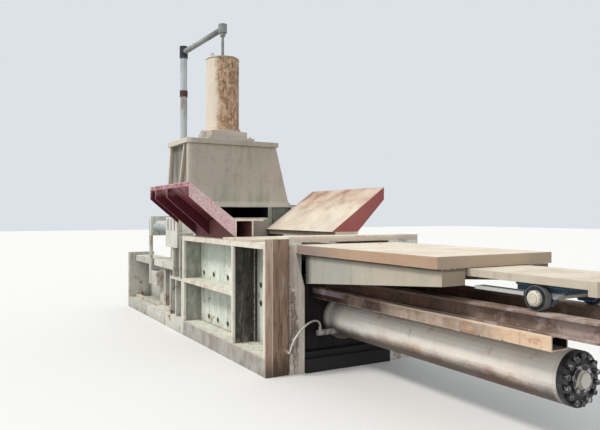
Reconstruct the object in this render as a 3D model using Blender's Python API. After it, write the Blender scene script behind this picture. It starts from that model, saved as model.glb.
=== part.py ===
"""Three-compression scrap baling press, built as separate solids.

Metres, +Z up. The origin lies on the floor, on the channel's centre plane, in the plane of the
charging box's end face. +X runs from there to the tail of the main cylinder, and -X to the baling
head. The side with the open hopper panel and the bale gate is -Y, called near here. +Y is far.
"""
import math

import bmesh
import bpy
from mathutils import Matrix, Vector

# Fits that every piece shares
GAP = 0.0003
OVERRUN = 0.05

# Driving dimensions of the charging box and its channel
CHANNEL_HALF = 0.535
LINER_THICK = 0.020
SIDE_DEPTH = 0.415
BOX_LENGTH = 2.46
BOX_TOP = 1.32
FLOOR_TOP = 0.20
RAM_TOP = 1.15

# Driving dimensions of the baling head
HEAD_LENGTH = 1.70
MOUTH_X = -3.06
CHAMBER_LENGTH = 0.90
HEAD_TOP = 1.72
PRESS_WINDOW_TOP = 0.79

# Driving dimensions of the three rams, their cylinders and the bale gate
MAIN_STROKE = 1.97
MAIN_AXIS_Z = 0.51
MAIN_RADIUS = 0.19
MAIN_BORE = 0.15
MAIN_ROD_RADIUS = 0.10
TAMPER_STROKE = 0.96
TAMPER_AXIS_X = -3.43
TRANSVERSE_STROKE = 1.03
GATE_STROKE = 0.92

# Facets round a turned piece
BIG_FACETS = 32
MEDIUM_FACETS = 24
SMALL_FACETS = 12
HEX_FACETS = 6

# Edge angle above which a turned piece keeps a crease, and below which two flat faces are one
CREASE_ANGLE = math.radians(40.0)
FLAT_ANGLE = math.radians(0.1)

# Share of a facet by which a turned ring starts late, so that its flats face up, down and sideways
HALF_FACET_SHARE = 0.5

# Places worked out from the driving dimensions
WALL_INNER = CHANNEL_HALF + LINER_THICK + GAP
OUTER = WALL_INNER + SIDE_DEPTH
BOX_FRONT_X = -BOX_LENGTH
HEAD_START_X = BOX_FRONT_X - GAP
HEAD_END_X = HEAD_START_X - HEAD_LENGTH
CHAMBER_BACK_X = MOUTH_X - CHAMBER_LENGTH
NEAR = -1
FAR = 1
HALF_SHARE = 0.5

# Base colour, roughness and metallic value of each finish
FINISHES = {
    "frame_paint": ((0.50, 0.50, 0.42), 0.70, 0.0),
    "brown_rust": ((0.16, 0.10, 0.07), 0.85, 0.2),
    "grey_steel": ((0.36, 0.34, 0.30), 0.60, 0.3),
    "worn_steel": ((0.45, 0.43, 0.40), 0.35, 0.9),
    "cream_paint": ((0.62, 0.55, 0.42), 0.65, 0.0),
    "faded_red": ((0.42, 0.13, 0.14), 0.70, 0.0),
    "beam_rust": ((0.26, 0.17, 0.13), 0.85, 0.2),
    "tan_paint": ((0.55, 0.42, 0.30), 0.70, 0.0),
    "barrel_grey": ((0.50, 0.47, 0.42), 0.55, 0.1),
    "tower_grey": ((0.34, 0.32, 0.28), 0.65, 0.1),
    "rust_cream": ((0.55, 0.38, 0.24), 0.80, 0.0),
    "oily_black": ((0.03, 0.03, 0.03), 0.35, 0.3),
    "steel_blue": ((0.10, 0.20, 0.30), 0.50, 0.1),
    "pipe_grey": ((0.40, 0.40, 0.40), 0.50, 0.5),
    "chrome": ((0.70, 0.70, 0.70), 0.15, 1.0),
    "hose_rubber": ((0.35, 0.35, 0.35), 0.60, 0.0),
}


def clear_scene():
    """Start from an empty scene."""
    for item in list(bpy.data.objects):
        bpy.data.objects.remove(item, do_unlink=True)


def finish_material(name):
    """Return the finish's material, made on its first use."""
    found = bpy.data.materials.get(name)
    if found is not None:
        return found
    colour, roughness, metallic = FINISHES[name]
    made = bpy.data.materials.new(name)
    made.use_nodes = True
    shader = made.node_tree.nodes["Principled BSDF"]
    shader.inputs["Base Color"].default_value = (*colour, 1.0)
    shader.inputs["Roughness"].default_value = roughness
    shader.inputs["Metallic"].default_value = metallic
    made.diffuse_color = (*colour, 1.0)
    return made


def object_from(mesh_data, name="shape"):
    """Put a bmesh into a new object with its faces pointing out."""
    bmesh.ops.recalc_face_normals(mesh_data, faces=mesh_data.faces)
    mesh = bpy.data.meshes.new(name)
    mesh_data.to_mesh(mesh)
    mesh_data.free()
    made = bpy.data.objects.new(name, mesh)
    bpy.context.scene.collection.objects.link(made)
    return made


def block(x, y, z):
    """A rectangular block between two values on each axis."""
    shape = bmesh.new()
    bmesh.ops.create_cube(shape, size=1.0)
    low = Vector((min(x), min(y), min(z)))
    high = Vector((max(x), max(y), max(z)))
    size = high - low
    bmesh.ops.scale(shape, vec=size, verts=shape.verts)
    bmesh.ops.translate(shape, vec=(low + high) / 2, verts=shape.verts)
    return object_from(shape)


def on_axis(axis, along, first, second):
    """A point from its place along an axis and the two values on the other axes, in x, y, z order."""
    if axis == "X":
        return Vector((along, first, second))
    if axis == "Y":
        return Vector((first, along, second))
    return Vector((first, second, along))


def prism(axis, span, outline):
    """An outline on the two other axes, extruded over a span of this axis."""
    shape = bmesh.new()
    ring = [shape.verts.new(on_axis(axis, span[0], *point)) for point in outline]
    face = shape.faces.new(ring)
    grown = bmesh.ops.extrude_face_region(shape, geom=[face])
    moved = [item for item in grown["geom"] if isinstance(item, bmesh.types.BMVert)]
    bmesh.ops.translate(shape, vec=on_axis(axis, span[1] - span[0], 0, 0), verts=moved)
    return object_from(shape)


def loft(bottom, bottom_z, top, top_z):
    """A four-sided body between two level rectangles, each given as an x span and a y span."""
    shape = bmesh.new()
    rings = []
    for (x_span, y_span), level in ((bottom, bottom_z), (top, top_z)):
        corners = (
            (x_span[0], y_span[0]), (x_span[1], y_span[0]),
            (x_span[1], y_span[1]), (x_span[0], y_span[1]),
        )
        rings.append([shape.verts.new((*corner, level)) for corner in corners])
    shape.faces.new(reversed(rings[0]))
    shape.faces.new(rings[1])
    count = len(rings[0])
    for index in range(count):
        after = (index + 1) % count
        shape.faces.new((rings[0][index], rings[0][after], rings[1][after], rings[1][index]))
    return object_from(shape)


def turned(axis, centre, profile, facets):
    """A closed profile of (radius, place along the axis) turned round that axis through centre."""
    shape = bmesh.new()
    rings = []
    for radius, along in profile:
        if radius == 0:
            rings.append([shape.verts.new(on_axis(axis, along, *centre))])
            continue
        ring = []
        for step in range(facets):
            turn = math.tau * (step + HALF_FACET_SHARE) / facets
            first = centre[0] + radius * math.cos(turn)
            second = centre[1] + radius * math.sin(turn)
            ring.append(shape.verts.new(on_axis(axis, along, first, second)))
        rings.append(ring)
    for index, ring in enumerate(rings):
        other = rings[(index + 1) % len(rings)]
        if len(ring) == 1 and len(other) == 1:
            continue
        for step in range(facets):
            after = (step + 1) % facets
            if len(ring) == 1:
                shape.faces.new((ring[0], other[step], other[after]))
            elif len(other) == 1:
                shape.faces.new((ring[step], ring[after], other[0]))
            else:
                shape.faces.new((ring[step], ring[after], other[after], other[step]))
    return object_from(shape)


def rod(axis, centre, radius, span, facets=MEDIUM_FACETS):
    """A plain round bar along an axis."""
    return turned(axis, centre, [(0, span[0]), (radius, span[0]), (radius, span[1]), (0, span[1])], facets)


def span_on(side, inner, outer):
    """The y span between two distances from the centre plane, on one side of it."""
    return tuple(sorted((side * inner, side * outer)))


def ring_places(centre, radius, count, start_share=0.0):
    """Places spread evenly round a circle, as pairs of values on the circle's two axes."""
    places = []
    for step in range(count):
        turn = math.tau * (step + start_share) / count
        places.append((centre[0] + radius * math.cos(turn), centre[1] + radius * math.sin(turn)))
    return places


def spread(first, last, count):
    """Evenly spaced values from first to last."""
    return [first + (last - first) * step / (count - 1) for step in range(count)]


def solid(name, finish, pieces, cuts=(), smooth=False, origin=None):
    """Weld pieces into one body, cut it, name it and give it its finish."""
    body = pieces[0]
    for operation, tools in (("UNION", pieces[1:]), ("DIFFERENCE", cuts)):
        for tool in tools:
            step = body.modifiers.new(operation.lower(), "BOOLEAN")
            step.operation = operation
            step.solver = "EXACT"
            step.object = tool
            tool.hide_render = True
            tool.display_type = "WIRE"
    if body.modifiers:
        graph = bpy.context.evaluated_depsgraph_get()
        mesh = bpy.data.meshes.new_from_object(body.evaluated_get(graph))
        body.modifiers.clear()
        body.data = mesh
    for tool in (*pieces[1:], *cuts):
        bpy.data.objects.remove(tool, do_unlink=True)
    merge_flat_faces(body.data)
    body.name = name
    body.data.name = name
    body.data.materials.clear()
    body.data.materials.append(finish_material(finish))
    if smooth:
        body.data.shade_smooth()
        body.data.set_sharp_from_angle(angle=CREASE_ANGLE)
    if origin is not None:
        body.data.transform(Matrix.Translation(-Vector(origin)))
        body.location = origin
    return body


def merge_flat_faces(mesh):
    """Join the small flat faces that welding leaves, where they lie in one plane."""
    shape = bmesh.new()
    shape.from_mesh(mesh)
    bmesh.ops.dissolve_limit(
        shape, angle_limit=FLAT_ANGLE, use_dissolve_boundaries=False,
        verts=shape.verts, edges=shape.edges,
    )
    shape.to_mesh(mesh)
    shape.free()


# Side frames of the charging box
RIB_THICK = 0.04
TOP_FLANGE = 0.06
PLINTH_TOP = 0.19
SHELF_LOW = 0.71
SHELF_TOP = 0.76
MIDDLE_RIB_X = -0.79
DEEP_BAY = 0.30
SHALLOW_BAY = 0.24
BOLT_HOLE_RADIUS = 0.014
BOLT_HOLE_DEPTH = 0.03
LOW_HOLE_RISE = 0.09
HIGH_HOLE_RISE = 0.10
HOLE_EDGE_SHARES = (0.16, 0.44, 0.72)
STRIP_HOLE_LEVEL_SHARES = (0.12, 0.55, 0.72)
STRIP_HOLE_INSET = 0.05


def side_frame(name, side):
    """One ribbed wall of the charging box: a thick slab with its bays sunk from outside."""
    slab = block((BOX_FRONT_X, 0), span_on(side, WALL_INNER, OUTER), (0, BOX_TOP))
    long_bay = (BOX_FRONT_X + RIB_THICK, MIDDLE_RIB_X - RIB_THICK)
    short_bay = (MIDDLE_RIB_X, -RIB_THICK)
    bay_top = BOX_TOP - TOP_FLANGE
    shallow = span_on(side, OUTER - SHALLOW_BAY, OUTER + OVERRUN)
    deep = span_on(side, OUTER - DEEP_BAY, OUTER + OVERRUN)
    cuts = [
        block(long_bay, shallow, (PLINTH_TOP, SHELF_LOW)),
        block(long_bay, shallow, (SHELF_TOP, bay_top)),
        block(short_bay, deep, (PLINTH_TOP, bay_top)),
    ]
    bay_length = long_bay[1] - long_bay[0]
    hole_span = span_on(side, OUTER - SHALLOW_BAY - BOLT_HOLE_DEPTH, OUTER - SHALLOW_BAY + BOLT_HOLE_DEPTH)
    for share in HOLE_EDGE_SHARES:
        for level in (PLINTH_TOP + LOW_HOLE_RISE, SHELF_TOP + HIGH_HOLE_RISE):
            place = (long_bay[1] - bay_length * share, level)
            cuts.append(rod("Y", place, BOLT_HOLE_RADIUS, hole_span, SMALL_FACETS))
    strip_span = span_on(side, OUTER - DEEP_BAY - BOLT_HOLE_DEPTH, OUTER - DEEP_BAY + BOLT_HOLE_DEPTH)
    for share in STRIP_HOLE_LEVEL_SHARES:
        place = (short_bay[1] - STRIP_HOLE_INSET, PLINTH_TOP + (bay_top - PLINTH_TOP) * share)
        cuts.append(rod("Y", place, BOLT_HOLE_RADIUS, strip_span, SMALL_FACETS))
    return solid(name, "frame_paint", [slab], cuts)


# Wall liners and the box floor
LINER_TOP = 1.24
FLOOR_PLATE = 0.06
BED_BEAM_WIDTH = 0.12
BED_BEAM_COUNT = 5
HEAD_BEAM_COUNT = 4
BED_TOE = 0.06
BED_TOE_CLEAR = 0.005
CROSSHEAD_BACK_X = -0.30
CROSSHEAD_FRONT_X = -0.10
CROSSHEAD_TOP = 0.98
LINER_BOLT_RADIUS = 0.016
LINER_BOLT_SINK = 0.006
LINER_BOLT_INSET = 0.09
LINER_BOLT_COUNT = 5


def wall_liner(name, side):
    """The wear plate inside one wall, with sunk bolt heads."""
    length = (BOX_FRONT_X, CROSSHEAD_BACK_X - GAP)
    levels = (FLOOR_TOP + GAP, LINER_TOP)
    plate = block(length, span_on(side, CHANNEL_HALF, CHANNEL_HALF + LINER_THICK), levels)
    sink = span_on(side, CHANNEL_HALF - OVERRUN, CHANNEL_HALF + LINER_BOLT_SINK)
    cuts = []
    for x in spread(length[0] + LINER_BOLT_INSET, length[1] - LINER_BOLT_INSET, LINER_BOLT_COUNT):
        for z in (levels[0] + LINER_BOLT_INSET, levels[1] - LINER_BOLT_INSET):
            cuts.append(rod("Y", (x, z), LINER_BOLT_RADIUS, sink, SMALL_FACETS))
    return solid(name, "worn_steel", [plate], cuts)


def bed(name, x_span, half_width, beam_count, toe=0):
    """A floor plate on cross beams that stand on the ground, with a toe that reaches under the portal."""
    low, high = min(x_span), max(x_span)
    plate_low = FLOOR_TOP - FLOOR_PLATE
    pieces = [block((low, high), (-half_width, half_width), (plate_low, FLOOR_TOP))]
    if toe:
        toe_half = CHANNEL_HALF - BED_TOE_CLEAR
        pieces.append(block((high - BED_BEAM_WIDTH, high + toe), (-toe_half, toe_half), (0, plate_low)))
    for x in spread(low, high - BED_BEAM_WIDTH, beam_count):
        pieces.append(block((x, x + BED_BEAM_WIDTH), (-half_width, half_width), (0, plate_low)))
    return solid(name, "worn_steel", pieces)


# Rear crosshead, tie beam, roof and end plates
BARREL_COLLAR_RADIUS = 0.23
TIE_TOP = 1.38
TIE_NEAR_Y = -0.70
ROOF_THICK = 0.028
HOPPER_BACK_X = -1.07
END_PLATE_THICK = 0.02
END_PLATE_TOP = 1.36
END_PLATE_INNER_Y = -0.71
PORTAL_THICK = 0.03
PORTAL_FLARE_Z = 0.87
PORTAL_FLARE_HALF = 0.632
PORTAL_CLEAR = 0.005
COVER_UNDER = 1.21


def rear_crosshead():
    """The thick block between the walls that the main cylinder pushes against."""
    half = WALL_INNER - GAP
    body = block((CROSSHEAD_BACK_X, CROSSHEAD_FRONT_X), (-half, half), (FLOOR_TOP + GAP, CROSSHEAD_TOP))
    span = (CROSSHEAD_BACK_X - OVERRUN, CROSSHEAD_FRONT_X + OVERRUN)
    bore = rod("X", (0, MAIN_AXIS_Z), MAIN_RADIUS + GAP, span, BIG_FACETS)
    return solid("rear_crosshead", "beam_rust", [body], [bore])


def rear_tie_beam():
    """The beam over the end of the box that ties the two walls together."""
    body = block((CROSSHEAD_BACK_X, 0), (TIE_NEAR_Y, OUTER), (BOX_TOP + GAP, TIE_TOP))
    return solid("rear_tie_beam", "tan_paint", [body])


def roof_plate():
    """The plate over the box between the hopper and the tie beam."""
    x_span = (HOPPER_BACK_X, CROSSHEAD_BACK_X - GAP)
    body = block(x_span, (-OUTER, OUTER), (BOX_TOP + GAP, BOX_TOP + GAP + ROOF_THICK))
    return solid("roof_plate", "tan_paint", [body])


def near_end_plate():
    """The plate that closes the near wall's end, with the bulkhead fitting of the oil hose."""
    plate = block((GAP, END_PLATE_THICK), (-OUTER, END_PLATE_INNER_Y), (0, END_PLATE_TOP))
    flange = rod("X", HOSE_LOW_PLACE, FITTING_FLANGE_RADIUS, (GAP, END_PLATE_THICK + FITTING_FLANGE))
    nipple_end = END_PLATE_THICK + FITTING_FLANGE + FITTING_REACH
    nipple = rod("X", HOSE_LOW_PLACE, FITTING_RADIUS, (GAP, nipple_end), SMALL_FACETS)
    return solid("near_end_plate", "brown_rust", [plate, flange, nipple])


def end_portal():
    """The portal plate on the walls' ends, its opening wider towards the top."""
    half = -END_PLATE_INNER_Y - GAP
    inner_top = COVER_UNDER + PORTAL_CLEAR
    right = [
        (PORTAL_FLARE_HALF, inner_top), (CHANNEL_HALF, PORTAL_FLARE_Z), (CHANNEL_HALF, 0),
        (half, 0), (half, FIXED_COVER_TOP),
    ]
    outline = right + [(-y, z) for y, z in reversed(right)]
    return solid("end_portal", "frame_paint", [prism("X", (GAP, PORTAL_THICK), outline)])


# Fixed cover over the tail and the two cheeks that carry it
FIXED_COVER_TOP = 1.30
FIXED_COVER_END_X = 2.05
FIXED_COVER_HALF = 0.618
COVER_PLATE = 0.06
COVER_LIP = 0.03
CHEEK_OUTER_Y = 0.575
CHEEK_INNER_Y = 0.365
CHEEK_END_INNER_Y = 0.345
CHEEK_END_LENGTH = 0.10
CHEEK_START_X = 0.125
CHEEK_HEEL_Z = 0.918
CHEEK_END_Z = 1.083
CHEEK_SKIN = 0.02
MOVING_COVER_HALF = 0.315


def fixed_cover():
    """The slab over the tail, with turned-down lips."""
    lip_inner = FIXED_COVER_HALF - COVER_LIP
    across = (-FIXED_COVER_HALF, FIXED_COVER_HALF)
    levels = (COVER_UNDER, FIXED_COVER_TOP)
    along = (PORTAL_THICK + GAP, FIXED_COVER_END_X)
    slab = block(along, across, (FIXED_COVER_TOP - COVER_PLATE, FIXED_COVER_TOP))
    lips = [block(along, span_on(side, lip_inner, FIXED_COVER_HALF), levels) for side in (NEAR, FAR)]
    end_lip = block((FIXED_COVER_END_X - COVER_LIP, FIXED_COVER_END_X), across, levels)
    return solid("fixed_cover", "tan_paint", [slab, *lips, end_lip])


def cover_cheek(name, side):
    """The tapered bracket beam under one edge of the fixed cover, hollow and open inward."""
    top = COVER_UNDER - GAP
    end_x = FIXED_COVER_END_X - CHEEK_END_LENGTH
    outline = [
        (CHEEK_START_X, top), (CHEEK_START_X, CHEEK_HEEL_Z),
        (FIXED_COVER_END_X, CHEEK_END_Z), (FIXED_COVER_END_X, top),
    ]
    beam = prism("Y", span_on(side, CHEEK_INNER_Y, CHEEK_OUTER_Y), outline)
    end_block = block((end_x, FIXED_COVER_END_X), span_on(side, CHEEK_END_INNER_Y, CHEEK_OUTER_Y),
                      (CHEEK_END_Z, top))
    hollow_start = CHEEK_START_X + CHEEK_SKIN
    hollow_outline = [
        (hollow_start, top - CHEEK_SKIN), (hollow_start, CHEEK_HEEL_Z + CHEEK_SKIN + CHEEK_SKIN),
        (end_x, CHEEK_END_Z + CHEEK_SKIN), (end_x, top - CHEEK_SKIN),
    ]
    hollow = prism("Y", span_on(side, CHEEK_INNER_Y - OVERRUN, CHEEK_OUTER_Y - CHEEK_SKIN), hollow_outline)
    return solid(name, "frame_paint", [beam, end_block], [hollow])


# Rail beams, cradle beams and the saddle that holds the barrel to them
RAIL_OUTER_Y = 0.36
RAIL_WIDTH = 0.12
RAIL_LOW = 0.84
RAIL_TOP = 0.97
RAIL_FLANGE = 0.018
RAIL_WEB = 0.014
RAIL_END_X = 3.12
CRADLE_WIDTH = 0.16
CRADLE_LOW = 0.74
CRADLE_WALL = 0.010
CRADLE_END_X = 2.80
SADDLE_PLACES = (0.80, 2.20)
SADDLE_LENGTH = 0.12
SADDLE_LOW = 0.66
SADDLE_HALF = 0.09
SADDLE_PLATE_LOW = 0.745
BARREL_END_X = 2.70


def rail_beam(name, side):
    """An I section that one carriage wheel runs on."""
    middle = side * (RAIL_OUTER_Y - RAIL_WIDTH / 2)
    half = RAIL_WIDTH / 2
    web = RAIL_WEB / 2
    low_flange = RAIL_LOW + RAIL_FLANGE
    top_flange = RAIL_TOP - RAIL_FLANGE
    right = [
        (half, RAIL_LOW), (half, low_flange), (web, low_flange),
        (web, top_flange), (half, top_flange), (half, RAIL_TOP),
    ]
    outline = [(middle + y, z) for y, z in right] + [(middle - y, z) for y, z in reversed(right)]
    return solid(name, "beam_rust", [prism("X", (CROSSHEAD_FRONT_X + GAP, RAIL_END_X), outline)])


def cradle_beam(name, side):
    """The hollow beam under a rail, open at its tail end."""
    x_span = (CROSSHEAD_FRONT_X + GAP, CRADLE_END_X)
    inner_y = RAIL_OUTER_Y - CRADLE_WIDTH
    top = RAIL_LOW - GAP
    body = block(x_span, span_on(side, inner_y, RAIL_OUTER_Y), (CRADLE_LOW, top))
    hollow = block(
        (x_span[0] + CRADLE_WALL, x_span[1] + OVERRUN),
        span_on(side, inner_y + CRADLE_WALL, RAIL_OUTER_Y - CRADLE_WALL),
        (CRADLE_LOW + CRADLE_WALL, top - CRADLE_WALL),
    )
    return solid(name, "tan_paint", [body], [hollow])


def cylinder_saddle(name, start_x):
    """A cross plate between the cradle beams, on a narrow block bored to sit on the barrel."""
    half = RAIL_OUTER_Y - CRADLE_WIDTH - GAP
    along = (start_x, start_x + SADDLE_LENGTH)
    plate = block(along, (-half, half), (SADDLE_PLATE_LOW, RAIL_LOW - GAP))
    foot = block(along, (-SADDLE_HALF, SADDLE_HALF), (SADDLE_LOW, RAIL_LOW - GAP))
    bore_span = (along[0] - OVERRUN, along[1] + OVERRUN)
    bore = rod("X", (0, MAIN_AXIS_Z), MAIN_RADIUS + GAP, bore_span, BIG_FACETS)
    return solid(name, "beam_rust", [plate, foot], [bore])


# Main cylinder
GLAND_RADIUS = 0.26
GLAND_FLANGE = 0.08
GLAND_SPIGOT = 0.14
COLLAR_LENGTH = 0.05
CAP_PLATE = 0.045
CAP_SPIGOT = 0.08
CAP_RING_RADIUS = 0.10
CAP_RING = 0.022
CAP_BOSS_RADIUS = 0.052
CAP_BOSS = 0.045
CAP_BOLT_CIRCLE = 0.158
CAP_BOLT_RADIUS = 0.019
CAP_BOLT_HEAD = 0.030
CAP_BOLTS = 14
GLAND_BOLT_CIRCLE = 0.225
GLAND_BOLTS = 8
GLAND_BOLT_HEAD = 0.02
PISTON_LENGTH = 0.18
PISTON_STOP_X = 0.43
PISTON_FRONT_X = PISTON_STOP_X + MAIN_STROKE


def main_barrel():
    """The long barrel, with a welded collar behind the crosshead."""
    start = CROSSHEAD_BACK_X
    collar_start = CROSSHEAD_FRONT_X + GAP
    profile = [
        (MAIN_BORE, start), (MAIN_RADIUS, start), (MAIN_RADIUS, collar_start),
        (BARREL_COLLAR_RADIUS, collar_start), (BARREL_COLLAR_RADIUS, collar_start + COLLAR_LENGTH),
        (MAIN_RADIUS, collar_start + COLLAR_LENGTH), (MAIN_RADIUS, BARREL_END_X), (MAIN_BORE, BARREL_END_X),
    ]
    body = turned("X", (0, MAIN_AXIS_Z), profile, BIG_FACETS)
    return solid("main_barrel", "barrel_grey", [body], smooth=True)


def main_cap():
    """The end cap, held by a ring of heavy bolts, with a raised ring and a centre boss."""
    start = BARREL_END_X + GAP
    face = start + CAP_PLATE
    profile = [
        (0, start - CAP_SPIGOT), (MAIN_BORE - GAP, start - CAP_SPIGOT), (MAIN_BORE - GAP, start),
        (MAIN_RADIUS, start), (MAIN_RADIUS, face), (CAP_RING_RADIUS, face),
        (CAP_RING_RADIUS, face + CAP_RING), (CAP_BOSS_RADIUS, face + CAP_RING),
        (CAP_BOSS_RADIUS, face + CAP_BOSS), (0, face + CAP_BOSS),
    ]
    body = turned("X", (0, MAIN_AXIS_Z), profile, BIG_FACETS)
    heads = [
        rod("X", place, CAP_BOLT_RADIUS, (face - CAP_RING, face + CAP_BOLT_HEAD), SMALL_FACETS)
        for place in ring_places((0, MAIN_AXIS_Z), CAP_BOLT_CIRCLE, CAP_BOLTS, HALF_SHARE)
    ]
    return solid("main_cap", "oily_black", [body, *heads], smooth=True)


def main_gland():
    """The flange that closes the barrel's front and guides the rod."""
    front = CROSSHEAD_BACK_X - GAP - GLAND_FLANGE
    shoulder = CROSSHEAD_BACK_X - GAP
    profile = [
        (MAIN_ROD_RADIUS + GAP, front), (GLAND_RADIUS, front), (GLAND_RADIUS, shoulder),
        (MAIN_BORE - GAP, shoulder), (MAIN_BORE - GAP, shoulder + GLAND_SPIGOT),
        (MAIN_ROD_RADIUS + GAP, shoulder + GLAND_SPIGOT),
    ]
    body = turned("X", (0, MAIN_AXIS_Z), profile, BIG_FACETS)
    heads = [
        rod("X", place, CAP_BOLT_RADIUS, (front - GLAND_BOLT_HEAD, front + GLAND_BOLT_HEAD), HEX_FACETS)
        for place in ring_places((0, MAIN_AXIS_Z), GLAND_BOLT_CIRCLE, GLAND_BOLTS, HALF_SHARE)
    ]
    return solid("main_gland", "grey_steel", [body, *heads], smooth=True)


# Main ram: head, face plate, rod and the cover that slides with it
RAM_SIDE_CLEAR = 0.003
RAM_BACK_X = -0.50
RAM_FACE_X = -1.08
FACE_PLATE = 0.02
RAM_SKIN = 0.05
RAM_POCKET_DEPTH = 0.42
RAM_MIDDLE_RIB = 0.05
COVER_THICK = 0.055
WIDE_COVER_END_X = -0.45
TAIL_X = 3.05
TAIL_PLATE = 0.03
TAIL_PLATE_LOW = 1.11
ROD_FOOT = 0.05
ROD_FOOT_RADIUS = 0.16


def ram_head():
    """The welded pusher box, open at the back between its ribs."""
    half = CHANNEL_HALF - RAM_SIDE_CLEAR
    front = RAM_FACE_X + FACE_PLATE + GAP
    low = FLOOR_TOP + GAP
    body = block((front, RAM_BACK_X), (-half, half), (low, RAM_TOP))
    pad = RAM_BACK_X - RAM_POCKET_DEPTH
    cuts = []
    rib = RAM_MIDDLE_RIB + ROD_FOOT_RADIUS
    for side in (NEAR, FAR):
        for z in ((low + RAM_SKIN, MAIN_AXIS_Z + ROD_FOOT_RADIUS),
                  (MAIN_AXIS_Z + ROD_FOOT_RADIUS + RAM_SKIN, RAM_TOP - RAM_SKIN)):
            cuts.append(block((pad, RAM_BACK_X + OVERRUN), span_on(side, rib, half - RAM_SKIN), z))
    return solid("main_ram_head", "grey_steel", [body], cuts)


def ram_face_plate():
    """The wear plate on the front of the ram head, with sunk bolt heads."""
    half = CHANNEL_HALF - RAM_SIDE_CLEAR
    body = block((RAM_FACE_X, RAM_FACE_X + FACE_PLATE), (-half, half), (FLOOR_TOP + GAP, RAM_TOP))
    sink = (RAM_FACE_X - OVERRUN, RAM_FACE_X + LINER_BOLT_SINK)
    cuts = []
    for y in (-half + LINER_BOLT_INSET, 0, half - LINER_BOLT_INSET):
        for z in (FLOOR_TOP + LINER_BOLT_INSET, RAM_TOP - LINER_BOLT_INSET):
            cuts.append(rod("X", (y, z), LINER_BOLT_RADIUS, sink, SMALL_FACETS))
    return solid("ram_face_plate", "worn_steel", [body], cuts)


def main_rod():
    """The piston rod, with its piston in the barrel and its foot on the ram head."""
    foot = RAM_BACK_X + GAP
    piston_end = PISTON_FRONT_X + PISTON_LENGTH
    profile = [
        (0, foot), (ROD_FOOT_RADIUS, foot), (ROD_FOOT_RADIUS, foot + ROD_FOOT),
        (MAIN_ROD_RADIUS, foot + ROD_FOOT), (MAIN_ROD_RADIUS, PISTON_FRONT_X),
        (MAIN_BORE - GAP, PISTON_FRONT_X), (MAIN_BORE - GAP, piston_end), (0, piston_end),
    ]
    body = turned("X", (0, MAIN_AXIS_Z), profile, BIG_FACETS)
    return solid("main_rod", "chrome", [body], smooth=True, origin=(foot, 0, MAIN_AXIS_Z))


def moving_cover():
    """The plate on the ram that shuts the hopper as the ram moves, with a turned-down tail plate."""
    low = RAM_TOP + GAP
    half = CHANNEL_HALF - RAM_SIDE_CLEAR
    outline = [
        (RAM_FACE_X, -half), (WIDE_COVER_END_X, -half), (WIDE_COVER_END_X, -MOVING_COVER_HALF),
        (TAIL_X, -MOVING_COVER_HALF), (TAIL_X, MOVING_COVER_HALF), (WIDE_COVER_END_X, MOVING_COVER_HALF),
        (WIDE_COVER_END_X, half), (RAM_FACE_X, half),
    ]
    plate = prism("Z", (low, low + COVER_THICK), outline)
    tail_span = (TAIL_X - TAIL_PLATE, TAIL_X + TAIL_PLATE)
    tail = block(tail_span, (-MOVING_COVER_HALF, MOVING_COVER_HALF), (TAIL_PLATE_LOW, low + COVER_THICK))
    return solid("moving_cover", "cream_paint", [plate, tail], origin=(RAM_FACE_X, 0, low))


# Roller carriage under the moving cover
WHEEL_X = 2.64
WHEEL_RADIUS = 0.085
WHEEL_OUTER_Y = 0.312
WHEEL_INNER_Y = 0.264
HUB_RADIUS = 0.052
HUB_REACH = 0.018
AXLE_RADIUS = 0.024
AXLE_NUT_RADIUS = 0.034
AXLE_NUT = 0.010
CARRIAGE_START_X = 2.44
CARRIAGE_END_X = 2.86
CARRIAGE_PLATE = 0.022
CARRIAGE_HALF = 0.26
HANGER_INNER_Y = 0.205
HANGER_OUTER_Y = 0.245
HANGER_LENGTH_SHARES = (0.15, 0.85)
HANGER_FOOT = 0.055
CROSS_TUBE = 0.05
GUARD_START_X = 2.10
GUARD_LOW = 1.062
GUARD_HIGH = 1.086
GUARD_OUTER_Y = 0.30
GUARD_INNER_Y = 0.2057


def wheel_centre_z():
    """The height of the carriage wheels' axle over the rails."""
    return RAIL_TOP + GAP + WHEEL_RADIUS


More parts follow.
